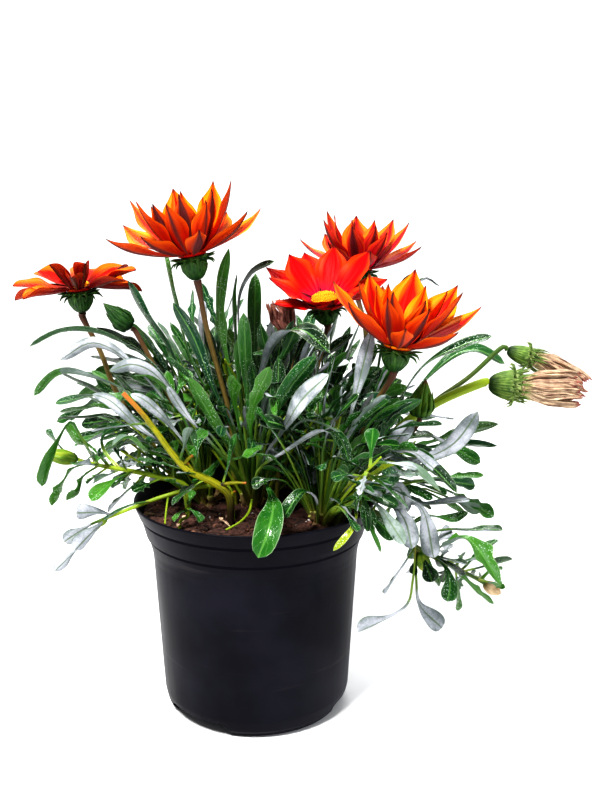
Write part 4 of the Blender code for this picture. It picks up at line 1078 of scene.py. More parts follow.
@dataclass
class Room:
    """Places that are taken, so that leaves stay clear of what stands there.

    Lip is the distances from the axis between which it lies, and heights the least ones allowed over the
    soil, over the lip and over the floor.
    """

    clear: float = 2.5
    lip: Pair = (69.0, 78.0)
    heights: Triple = (SOIL_TOP + 2.6, POT_HEIGHT + 1.6, 25.0)
    stem_spare: float = 0.9
    steps: int = 44
    root_share: float = 0.3
    across: tuple[float, float, int] = (-1.0, 1.0, 7)
    taken: list[tuple[str, Array, float, int]] = field(default_factory=list)
    boxes: Array = field(default_factory=lambda: np.empty((0, 6)))

    def take(self, owner: str, samples: Array, reach: float, root_count: int = 0) -> None:
        """Remembers the points that a piece fills, how far round each it reaches, and its box.

        Args:
            owner: The piece.
            samples: Its points.
            reach: Distance that it fills round each.
            root_count: How many of the points belong to its root.
        """
        self.taken.append((owner, samples, reach, root_count))
        self.boxes = np.vstack([self.boxes, [*(samples.min(0) - reach), *(samples.max(0) + reach)]])

    def take_stem(self, owner: str, line: Array, radius: float) -> None:
        """Remembers a stem."""
        self.take(owner, smooth(line, evenly(STEM_STEPS)), radius - self.stem_spare)

    def is_free(self, owner: str, samples: Array, root_count: int) -> bool:
        """Whether a blade keeps clear of all others, and past its root of its own crown's too.

        Args:
            owner: Its crown or spray.
            samples: Its points.
            root_count: How many of them belong to its root.

        Returns:
            Whether nothing stands nearer than is allowed; only pieces whose boxes come close are measured.
        """
        low, high = samples.min(0), samples.max(0)
        close = (self.boxes[:, 3:] >= low - self.clear) & (self.boxes[:, :3] <= high + self.clear)
        for index in np.flatnonzero(np.all(close, axis=1)):
            other, theirs, reach, their_root = self.taken[index]
            need = reach + self.clear
            mine = samples
            if other == owner:
                mine, theirs = samples[root_count:], theirs[their_root:]
            near = theirs[np.all((theirs > low - need) & (theirs < high + need), axis=1)]
            if len(near) and np.linalg.norm(mine[:, None] - near[None], axis=2).min() < need:
                return False
        return True

    def is_over_pot(self, samples: Array, root_count: int) -> bool:
        """Whether a blade past its root keeps off the soil, the lip and the floor.

        Args:
            samples: Its points.
            root_count: How many of them belong to its root.

        Returns:
            Whether all others stand high enough for their distance from the pot's axis.
        """
        past = samples[root_count:]
        away = np.hypot(past[:, 0], past[:, 1])
        inner, outer = self.lip
        over_soil, over_lip, over_floor = self.heights
        on_soil = (away < inner) & (past[:, 2] < over_soil)
        on_lip = (away >= inner) & (away < outer) & (past[:, 2] < over_lip)
        return not np.any(on_soil | on_lip | (past[:, 2] < over_floor))

    def samples(self, leaf: Leaf) -> tuple[Array, int]:
        """Points spread over a leaf, a few millimetres apart.

        Args:
            leaf: The placed leaf.

        Returns:
            The points, and how many belong to its root.
        """
        share = evenly(self.steps)
        spine = smooth(leaf.path, share)
        side, _ = frames(spine, leaf.plan, UP, leaf.turns)
        swell = np.clip((share - leaf.bare) / (0.45 * (1 - leaf.bare)), 0, 1)
        wide = 1.1 + (leaf.half_width - 1.1) * (swell * np.clip((1 - share) / 0.12, 0, 1))
        across = np.linspace(*self.across)
        spread = spine[:, None] + side[:, None] * (wide[:, None] * across)[:, :, None]
        return spread.reshape(-1, 3), int(self.steps * self.root_share) * len(across)

    def fits(self, owner: str, leaf: Leaf) -> bool:
        """Takes the leaf's room if it is free, and says whether it was.

        Args:
            owner: Its crown or spray.
            leaf: The placed leaf.

        Returns:
            Whether it was free.
        """
        samples, rooted = self.samples(leaf)
        if not (self.is_over_pot(samples, rooted) and self.is_free(owner, samples, rooted)):
            return False
        self.take(owner, samples, 0.0, rooted)
        return True


@dataclass
class Bench:
    """What every piece is made with: finishes, room, and the draws of the solids and of the looks alone."""

    wear: dict[str, bpy.types.Material]
    room: Room = field(default_factory=Room)
    draw: Draw = field(default_factory=lambda: Draw(SEED))
    fine: Draw = field(default_factory=lambda: Draw(SEED + 1))

    def present(self, shape: Shape, finishes: str, slot: str, *nodes: str,
                angle: float = 60.0) -> bpy.types.Object:
        """Writes a shape, lets it ride on the root, and has it stand for the solids it replaces.

        Args:
            shape: The finished shape.
            finishes: Names of its finishes by slot, with spaces between them.
            slot: The record's material slot; not used.
            nodes: The solids that it stands for.
            angle: Edges sharper than this many degrees stay sharp.

        Returns:
            The object.
        """
        made = shape.write([self.wear[name] for name in finishes.split()], angle)
        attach(made, "root")
        if nodes:
            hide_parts(*nodes)
        LOG.info("%s: %d faces", made.name, len(made.data.polygons))
        return made

    def stalk(self, name: str, line: Array, radii: Array, wave: tuple[float, float, int], sides: int = 14,
              finish: str = "flower_stem", slot: str = "flower_stem") -> None:
        """Makes the stem of a head.

        Args:
            name: The head's name.
            line: Path from the soil to the head.
            radii: Radius at each of its points.
            wave: Share by which the radius swells and shrinks, the size of the waves, and their seed.
            sides: Points in a ring.
            finish: Its finish.
            slot: The record's material slot.
        """
        share, size, seed = wave
        spine = smooth(line, evenly(len(radii)))
        shape = Shape(name + "_stalk")
        add_tube(shape, spine, radii * (1 + share * ripple(spine, size, seed)), sides, 0, self.fine.random())
        self.present(shape, finish, slot, name + "_stem")


@dataclass(frozen=True)
class Crown:
    """Woody crown in the soil: its middle, its radius, and how many roots of leaf stalks it has.

    Rooted is the share of its radius that the roots take up.
    """

    name: str
    middle: Pair
    radius: float
    roots: int = 30
    rooted: float = 0.80
    stubs: int = 12
    drops: int = 110

    def open_roots(self) -> list[Array]:
        """Places for leaf stalks, spread over the dome as seeds are in a sunflower.

        Returns:
            The places, just under the surface of the soil.
        """
        number = np.arange(self.roots)
        away = self.radius * self.rooted * np.sqrt((number + 0.5) / self.roots)
        turn = number * GOLDEN_ANGLE
        x, y = self.middle
        return [np.array([x + a * math.cos(t), y + a * math.sin(t), SOIL_TOP - 0.5])
                for a, t in zip(away, turn)]

    def root_for(self, aim: Array, places: list[Array]) -> Array:
        """The open place that lies nearest to the side where the leaf goes.

        Args:
            aim: Where the leaf goes.
            places: Those that are open.

        Returns:
            One of the places.
        """
        middle = np.array(self.middle)
        run = np.array([aim[0], aim[1]]) - middle
        wanted = middle + run / max(np.linalg.norm(run), 40.0) * self.radius
        return min(places, key=lambda place: np.linalg.norm(place[:2] - wanted))

    def build(self, leaves: list[Leaf], shoots: list[Array], bench: Bench) -> None:
        """Makes its leaves, its woody dome, the stubs of stalks that have gone, its shoots and its water
        drops.

        Args:
            leaves: Its placed leaves.
            shoots: Middle lines of its side shoots.
            bench: What it is made with.
        """
        fine = bench.fine
        shape = Shape(self.name + "_leaves")
        for leaf in leaves:
            add_leaf(shape, leaf, fine)
        x, y = self.middle
        dome = round_profile([(self.radius * r, SOIL_TOP + z) for r, z in (
            (0.0, 4.6), (0.62, 3.6), (0.98, -0.4), (0.94, -HOLE_DEPTH), (0.0, -HOLE_DEPTH))], 2.0)
        add_turned(shape, dome, 48, (np.eye(3), np.array([x, y, 0.0])), 1, fine.random(),
                   lambda t, z: 1 + 0.05 * np.sin(7 * t + z) * np.cos(3 * t))
        for _ in range(self.stubs):
            bearing, lean = fine.uniform(0, FULL_TURN), fine.uniform(0.2, 0.9)
            out = level(bearing)
            foot = np.array([x, y, SOIL_TOP + 1.0]) + out * self.radius * fine.uniform(0.3, 0.85)
            tip = foot + (out * math.sin(lean) + UP * math.cos(lean)) * fine.uniform(4.5, 9.0)
            line = smooth([foot, (foot + tip) / 2 + out * 0.5, tip], evenly(8))
            add_tube(shape, line, np.linspace(1.6, 1.0, 8), 10, 1, fine.random())
        for line in shoots:
            add_tube(shape, line, np.linspace(1.0, 0.6, len(line)), 8, 2, fine.random())
        add_dew(bench.present(shape, "leaf crown green_stem", "leaves", self.name), self.drops, bench)


CROWNS = {crown.name: crown for crown in (
    Crown("crown_middle", (-1.0, 2.0), 8.5),
    Crown("crown_right", (40.0, -31.0), 7.5),
    Crown("crown_left", (-30.0, 6.0), 6.5),
    Crown("crown_back_left", (-22.0, 40.0), 7.5),
    Crown("crown_back_right", (27.0, 38.0), 7.5),
)}


def rooted_line(root: Pair, places: list[Array], spacing: float) -> Array:
    """Path that stands straight in its hole in the soil and then runs through the places.

    Args:
        root: Where it stands in the soil.
        places: Places that it passes.
        spacing: Distance between its points.

    Returns:
        Its points, from the foot up.
    """
    foot = np.array([root[0], root[1], SOIL_TOP - HOLE_DEPTH])
    neck = np.array([root[0], root[1], SOIL_TOP + 3.5])
    points = [neck] + places
    length = sum(np.linalg.norm(b - a) for a, b in zip(points, points[1:]))
    return np.vstack([[foot], smooth(points, evenly(max(4, int(length / spacing))))])


def stem_line(top: Array, axis: Array, pixels: Sequence[Pixel], root: Pair) -> Array:
    """Stem path from the soil, through the places seen, to the piece that it carries, end on."""
    places = [CAMERA.seen(*p) for p in pixels][::-1]
    return np.vstack([rooted_line(root, places + [top - axis * 4.0], 21.0), [top]])


@dataclass(frozen=True)
class Spray:
    """Leafy stem: the places it passes, its radii, its root, and the small buds it carries.

    Each bud is its base, its tip and its radius. Thinner is a factor on the radius at shares of the
    length, and each stub a point of the stem, its run to the side and up, and its length.
    """

    name: str
    path: tuple[Pixel, ...]
    radii: Pair
    root: Pair
    buds: tuple[tuple[Pixel, Pixel, float], ...] = ()
    finish: str = "green_stem"
    slot: str = "leaves"
    drops: int = 0
    thinner: tuple[Pair, ...] = ((0, 1.0), (1, 1.0))
    stubs: tuple[tuple[int, float, float, float], ...] = ()
    spacing: float = 12.0

    def line(self) -> Array:
        """Path of the stem from its hole in the soil to its tip."""
        return rooted_line(self.root, [CAMERA.seen(*p) for p in self.path], self.spacing)

    def build(self, leaves: list[Leaf], bench: Bench) -> None:
        """Makes its leaves, its stem with its broken side shoots, the small buds at its tips, and its water
        drops.

        Args:
            leaves: Its placed leaves.
            bench: What it is made with.
        """
        fine = bench.fine
        shape = Shape(self.name + "_leaves")
        for leaf in leaves:
            add_leaf(shape, leaf, fine)
        line, share = self.line(), evenly(STEM_STEPS)
        spine = smooth(line, share)
        radii = np.interp(share, evenly(len(line)), np.linspace(*self.radii, len(line)))
        radii = radii * np.interp(share, *zip(*self.thinner))
        add_tube(shape, spine, radii * (1 + 0.05 * ripple(spine, 22.0, 9)), 16, 1, fine.random())
        for spot, side, rise, length in self.stubs:
            run, foot = unit(np.array([side, -0.2, rise])), spine[spot]
            stub = smooth([foot, foot + run * length * 0.5 + UP * 0.8, foot + run * length], evenly(10))
            add_tube(shape, stub, np.linspace(1.5, 0.7, 10) * (1 + 0.12 * ripple(stub, 6.0, spot)), 12, 1,
                     fine.random())
        for number, (base, tip, radius) in enumerate(self.buds):
            low, high = CAMERA.seen(*base), CAMERA.seen(*tip)
            radius, length = radius * 0.88, 0.84 * float(np.linalg.norm(high - low))
            profile = [(0.0, length), (radius * 0.7, length * 0.8), (radius, length * 0.45),
                       (radius * 0.6, 0.8), (0.0, 0.0)]
            add_turned(shape, round_profile(profile, length * 0.16), 64, axis_frame(low, unit(high - low)),
                       2 + number, fine.random(), lambda t, z: 1 + 0.06 * np.cos(8 * t))
        made = bench.present(shape, f"leaf {self.finish} small_bud tan_bud", self.slot, self.name)
        if self.drops:
            add_dew(made, self.drops, bench)


SPRAYS = {spray.name: spray for spray in (
    Spray("spray_over_rim", ((226, 486, -18), (191, 489, -22), (150, 501, -26), (122, 512, -30),
                             (107, 518, -32)), (1.9, 1.0), (-13, -24),
          (((107, 518, -32), (96, 528, -30), 2.4),)),
    Spray("spray_low_left", ((192, 490, -14), (172, 482, -14), (148, 474, -14), (112, 468, -16),
                             (78, 460, -18)), (2.0, 1.1), (-40, -17),
          (((78, 460, -18), (38, 452, -22), 5.6),), drops=50),
    Spray("old_stem", ((226, 486, -37), (205, 480, -39), (180, 464, -42), (166, 444, -45), (146, 419, -47),
                       (136, 405, -48), (123, 393, -48)), (3.0, 1.6), (-13, -37), (), "old_stem", "old_stem",
          thinner=((0, 0.7), (0.12, 0.7), (0.3, 0.95), (1, 0.82)),
          stubs=((30, 1.0, 0.15, 17.0), (42, -0.5, 1.0, 8.0), (48, 0.7, 0.8, 9.0), (36, -0.9, 0.5, 6.0),
                 (22, 0.6, 0.9, 6.0))),
    Spray("spray_trailing", ((348, 507, -40), (361, 507, -42), (378, 514, -44), (396, 529, -48),
                             (415, 546, -50), (440, 560, -47), (468, 574, -42), (489, 586, -38)), (2.1, 1.0),
          (50, -37), (((421, 552, -51), (425, 576, -54), 4.4), ((484, 583, -39), (504, 596, -36), 4.6)),
          "dark_stem", drops=50),
    Spray("seedling", ((188, 516, -44), (186, 506, -44), (184, 494, -43)), (1.0, 0.7), (-42, -42)),
)}


@dataclass(frozen=True)
class SeenLeaf:
    """Leaf that the photograph shows: owner, surface, places, half width, turns and bare share.

    Slim is its width by that of the solid, and twist a further turn of its tip in degrees.
    """

    owner: str
    shows: Shows
    places: tuple[Pixel, ...]
    half_width: float
    turns: Pair
    bare: float
    slim: float = 1.0
    twist: float = 0.0
    outline: str = "spoon"


SEEN_LEAVES = tuple(SeenLeaf(owner, *row) for owner, rows in (
    ("crown_middle", (
        (GREEN, ((258, 478, -24), (270, 492, -44), (273, 508, -66), (268, 532, -82), (258, 558, -86)),
         6.4, (0, 10), 0.42),
        (SILVER, ((251, 440, -10), (258, 388, -18), (274, 344, -26), (300, 330, -34), (330, 353, -42)),
         7.6, (-30, 25), 0.45, 0.8),
        (GREEN, ((250, 440, 2), (256, 385, -2), (250, 352, -6)), 4.2, (20, 60), 0.6, 0.8),
        (GREEN, ((256, 430, 8), (268, 372, 4), (260, 325, 0)), 4.4, (10, 50), 0.55, 0.8),
        (GREEN, ((262, 440, -20), (276, 398, -26), (279, 358, -30)), 4.6, (0, -50), 0.45, 0.8),
        (GREEN, ((264, 440, -26), (284, 396, -36), (316, 356, -46)), 4.6, (0, -40), 0.4),
        (SILVER, ((264, 460, -18), (282, 432, -26), (302, 400, -34), (328, 375, -38)),
         5.4, (60, 95), 0.35),
        (GREEN, ((240, 420, 4), (221, 330, 4), (221, 285, 4), (229, 248, 2)),
         4.4, (30, 50), 0.35, 0.9, 0, "toothed"),
        (GREEN, ((243, 410, 12), (233, 310, 14), (237, 273, 14)), 2.6, (20, 40), 0.45, 0.9),
        (GREEN, ((247, 400, 20), (239, 315, 24), (250, 278, 24), (275, 263, 20)),
         3.8, (-40, 30), 0.6, 0.9),
        (BRIGHT, ((240, 462, -14), (218, 428, -22), (203, 402, -26), (189, 377, -30)), 4.0, (30, 30), 0.2),
        (SILVER, ((236, 474, -20), (210, 442, -30), (184, 412, -34), (167, 386, -38)),
         4.6, (40, 80), 0.62, 0.5),
        (SILVER, ((258, 472, -26), (284, 452, -44), (322, 431, -60), (340, 440, -64), (350, 466, -66)),
         4.6, (-60, 20), 0.45),
        (GREEN, ((226, 430, 6), (190, 372, 6), (170, 310, 6), (158, 262, 4)), 4.8, (40, 60), 0.45, 0.8),
        (GREEN, ((236, 440, -4), (214, 388, -4), (196, 340, -2), (176, 306, 0)), 5.6, (50, 85), 0.4, 0.6))),
    ("crown_left", (
        (GREEN, ((200, 450, 0), (160, 372, -4), (112, 338, -6), (66, 331, -8), (29, 347, -10)),
         4.4, (0, 10), 0.45, 1.0, 20),
        (SILVER, ((190, 440, 6), (140, 372, 6), (96, 343, 6), (60, 360, 6)), 5.2, (40, 100), 0.5, 0.6),
        (MIXED, ((186, 450, -8), (130, 394, -14), (88, 376, -20), (58, 374, -24), (34, 396, -26)),
         3.8, (0, 15), 0.6, 1.0, 50),
        (SILVER, ((196, 440, 2), (168, 385, 0), (142, 366, -2), (118, 372, -2)),
         5.0, (60, 120), 0.45, 0.7),
        (GREEN, ((194, 446, -16), (172, 398, -26), (150, 378, -30), (132, 376, -32)),
         5.0, (0, 0), 0.5, 0.8),
        (SILVER, ((192, 456, -22), (166, 420, -32), (144, 400, -36), (130, 394, -36)),
         4.8, (60, 110), 0.55, 0.6),
        (GREEN, ((206, 430, 8), (170, 352, 12), (146, 318, 12), (126, 281, 12)), 5.4, (30, 50), 0.45, 0.9),
        (SILVER, ((184, 460, -18), (140, 428, -28), (112, 402, -30), (92, 394, -30)),
         5.0, (50, 100), 0.5, 0.6),
        (BRIGHT, ((182, 466, -12), (146, 452, -24), (128, 438, -28), (112, 446, -32)),
         6.2, (0, 0), 0.4, 0.8),
        (GREEN, ((176, 470, -8), (118, 420, -16), (84, 418, -20), (57, 418, -24)),
         3.4, (0, 20), 0.45, 0.9, 0, "toothed"))),
    ("spray_low_left", (
        (BRIGHT, ((96, 464, -17), (80, 434, -22), (68, 424, -26), (44, 484, -34)),
         5.8, (0, 20), 0.35, 1.0, 60),
        (BRIGHT, ((90, 463, -17), (74, 468, -24), (62, 484, -28), (51, 506, -32)),
         6.4, (10, 10), 0.2, 1.0, 60, "lobed"),
        (GREEN, ((108, 467, -15), (92, 448, -12), (76, 440, -10), (66, 424, -8)), 4.6, (40, 90), 0.3),
        (BRIGHT, ((100, 466, -16), (84, 476, -20), (78, 492, -22), (66, 500, -24)),
         5.0, (0, 0), 0.3, 1.0, 70, "lobed"),
        (BRIGHT, ((84, 462, -18), (66, 452, -14), (54, 440, -12), (46, 430, -10)),
         3.8, (20, 20), 0.4, 1.0, 50),
        (BRIGHT, ((120, 468, -14), (104, 450, -8), (104, 434, -6), (124, 421, -4)), 3.0, (0, 30), 0.5))),
    ("spray_over_rim", (
        (SILVER, ((112, 516, -31), (98, 512, -36), (76, 513, -40)), 5.0, (60, 75), 0.15),
        (SILVER, ((109, 517, -31), (94, 530, -34), (75, 550, -38)), 5.2, (60, 70), 0.1),
        (SILVER, ((108, 518, -31), (88, 526, -26), (64, 542, -26)), 4.0, (60, 80), 0.4),
        (SILVER, ((108, 518, -32), (86, 540, -30), (55, 571, -32)), 3.0, (60, 80), 0.55),
        (GREEN, ((150, 501, -26), (128, 506, -34), (104, 520, -42)), 3.2, (0, 20), 0.3))),
    ("crown_right", (
        (GREEN, ((335, 480, -50), (372, 462, -58), (390, 476, -62), (366, 488, -68)), 5.0, (0, 0), 0.45),
        (SILVER, ((346, 480, -36), (380, 458, -40), (414, 420, -42)), 4.8, (50, 95), 0.4, 0.9),
        (GREEN, ((340, 470, -46), (354, 452, -50), (366, 434, -52)), 3.4, (60, 90), 0.4),
        (SILVER, ((352, 480, -28), (410, 458, -30), (448, 438, -32), (472, 403, -34)),
         5.6, (60, 100), 0.45, 0.8))),
    ("crown_back_right", (
        (GREEN, ((376, 450, 28), (418, 446, 20), (462, 432, 12), (499, 424, 6)),
         4.0, (0, 0), 0.5, 1.0, 40, "toothed"),
        (GREEN, ((376, 458, 30), (414, 452, 28), (454, 444, 22), (498, 446, 14)),
         4.4, (0, 0), 0.5, 1.0, 50, "lobed"))),
    ("crown_right", (
        (MIXED, ((346, 486, -44), (402, 452, -52), (430, 466, -56), (457, 493, -60)), 4.4, (30, 10), 0.5),
        (YELLOW, ((342, 490, -50), (376, 470, -64), (402, 462, -74), (434, 487, -80)),
         4.8, (0, 0), 0.3, 1.0, 0, "lobed"),
        (SILVER, ((336, 470, -40), (350, 420, -40), (362, 374, -38), (372, 333, -36)),
         5.4, (40, 90), 0.5, 0.7),
        (GREEN, ((344, 460, -26), (372, 400, -20), (400, 352, -12), (420, 318, -8)), 4.6, (20, 60), 0.5))),
    ("crown_back_right", (
        (GREEN, ((372, 440, 26), (420, 370, 22), (462, 346, 18), (492, 336, 16)),
         4.4, (0, 0), 0.6, 1.0, 40),
        (GREEN, ((374, 440, 30), (430, 376, 30), (470, 350, 30), (505, 364, 30)),
         4.8, (0, 0), 0.5, 1.0, 40),
        (GREEN, ((362, 430, 44), (384, 340, 62), (402, 296, 66), (415, 273, 64)), 4.6, (20, 50), 0.6),
        (GREEN, ((364, 430, 40), (396, 340, 44), (420, 282, 44), (441, 287, 40)), 3.4, (0, 0), 0.6))),
    ("spray_trailing", (
        (SILVER, ((372, 514, -50), (384, 494, -54), (400, 488, -58), (408, 512, -62)), 4.2, (50, 90), 0.3),
        (SILVER, ((393, 528, -52), (408, 504, -56), (424, 512, -60), (434, 558, -66)),
         5.4, (60, 90), 0.35),
        (SILVER, ((380, 519, -50), (402, 500, -44), (430, 504, -40), (470, 500, -38)), 4.4, (10, 10), 0.4),
        (GREEN, ((400, 533, -52), (424, 516, -46), (452, 520, -42), (468, 512, -40)), 4.6, (0, 10), 0.35),
        (GREEN, ((410, 541, -52), (440, 526, -46), (470, 522, -42), (496, 518, -40)), 4.2, (0, 0), 0.5),
        (SILVER, ((384, 522, -50), (392, 506, -58), (404, 520, -66), (410, 546, -70)), 4.6, (20, 20), 0.3),
        (BRIGHT, ((428, 553, -50), (446, 540, -54), (466, 532, -56), (494, 572, -58)),
         7.0, (0, 10), 0.15, 1.0, 0, "lobed"),
        (BRIGHT, ((444, 562, -47), (462, 576, -52), (476, 590, -54), (494, 604, -54)),
         4.6, (0, 10), 0.15, 1.0, 0, "lobed"),
        (GREEN, ((436, 557, -48), (446, 568, -54), (449, 582, -56), (446, 598, -58)), 4.2, (10, 10), 0.2),
        (GREEN, ((462, 572, -44), (474, 558, -42), (486, 548, -40), (498, 540, -38)),
         3.8, (0, 0), 0.2, 1.0, 0, "toothed"),
        (SILVER, ((416, 546, -52), (408, 558, -56), (396, 576, -60), (384, 594, -62)), 4.4, (30, 60), 0.3),
        (SILVER, ((416, 546, -52), (413, 580, -56), (404, 608, -58), (358, 632, -60)), 6.2, (30, 60), 0.5),
        (SILVER, ((417, 547, -51), (416, 580, -48), (420, 606, -46), (442, 628, -46)), 4.8, (40, 80), 0.5),
        (YELLOW, ((352, 510, -48), (356, 520, -66), (350, 532, -84), (333, 551, -86)),
         3.0, (0, 0), 0.3, 0.6))),
    ("seedling", (
        (BRIGHT, ((187, 511, -44), (180, 514, -50), (172, 524, -54)), 2.6, (0, 0), 0.25),
        (BRIGHT, ((186, 508, -44), (194, 512, -50), (202, 522, -52)), 2.6, (0, 0), 0.25),
        (BRIGHT, ((186, 506, -44), (190, 500, -40), (193, 490, -38)), 2.0, (0, 30), 0.25))),
    ("crown_right", (
        (GREEN, ((316, 500, -46), (304, 492, -52), (294, 502, -58), (284, 518, -60)), 4.4, (0, 0), 0.35),)),
) for row in rows)


@dataclass(frozen=True)
class FillRule:
    """Leaves drawn by rule: crown, count, bearings, leans from upright, lengths and half widths."""

    owner: str
    count: int
    bearings: Pair
    leans: Pair
    lengths: Pair
    widths: Pair = (3.6, 5.6)

    def aim(self, draw: Draw) -> tuple[Array, float, float]:
        """Draws a level direction, a lean from upright in radians, and a length."""
        out = level(math.radians(draw.uniform(*self.bearings)))
        return out, math.radians(draw.uniform(*self.leans)), draw.uniform(*self.lengths)


FILL = (
    FillRule("crown_middle", 5, (20, 340), (6, 34), (100, 150)),
    FillRule("crown_right", 5, (-70, 80), (18, 62), (78, 120)),
    FillRule("crown_left", 3, (110, 250), (18, 60), (85, 125)),
    FillRule("crown_back_left", 8, (60, 225), (12, 56), (80, 122)),
    FillRule("crown_back_right", 7, (-40, 125), (12, 56), (80, 122)),
)

# Leaves that only the looks have, between those of the solids
FINE_FILL = (
    FillRule("crown_middle", 100, (-25, 190), (2, 52), (56, 135), (3.0, 5.4)),
    FillRule("crown_middle", 18, (255, 335), (4, 34), (85, 140), (2.4, 4.6)),
    FillRule("crown_left", 56, (70, 205), (6, 42), (44, 104), (2.8, 5.0)),
    FillRule("crown_right", 72, (-70, 90), (6, 66), (44, 94), (2.8, 5.0)),
    FillRule("crown_right", 30, (80, 190), (4, 34), (50, 96), (2.6, 4.6)),
    FillRule("crown_back_left", 70, (40, 220), (4, 62), (50, 115), (3.2, 5.6)),
    FillRule("crown_back_left", 40, (220, 400), (4, 42), (50, 104), (2.8, 5.0)),
    FillRule("crown_back_right", 70, (-40, 140), (4, 62), (50, 115), (3.2, 5.6)),
    FillRule("crown_back_right", 50, (140, 320), (4, 44), (50, 108), (2.8, 5.0)),
    FillRule("crown_back_right", 46, (-60, 240), (2, 26), (88, 128), (3.2, 5.6)),
    FillRule("crown_middle", 30, (-40, 80), (6, 32), (90, 128), (3.0, 5.2)),
    FillRule("crown_back_left", 50, (60, 250), (2, 32), (104, 142), (3.2, 5.4)),
    FillRule("crown_right", 40, (-60, 200), (0, 26), (84, 116), (3.0, 5.0)),
    FillRule("crown_back_left", 30, (130, 230), (22, 46), (92, 130), (3.0, 5.2)),
)

# Thin side shoots that only the looks have, each with a tuft of small leaves
SHOOTS = (
    FillRule("crown_middle", 10, (10, 200), (4, 34), (56, 104)),
    FillRule("crown_middle", 4, (262, 345), (8, 34), (60, 90)),
    FillRule("crown_left", 9, (60, 215), (6, 50), (48, 96)),
    FillRule("crown_right", 9, (-80, 100), (6, 56), (46, 88)),
    FillRule("crown_back_left", 10, (0, 360), (4, 50), (50, 100)),
    FillRule("crown_back_right", 12, (0, 360), (4, 50), (50, 104)),
)

# Small leaves that only the looks have: spray, count, part of its stem, and half widths
SPROUTS = (
    ("spray_low_left", 18, (0.30, 1.0), (3.4, 6.0)),
    ("spray_trailing", 24, (0.45, 1.0), (2.4, 5.2)),
    ("old_stem", 12, (0.30, 0.92), (2.3, 4.6)),
)


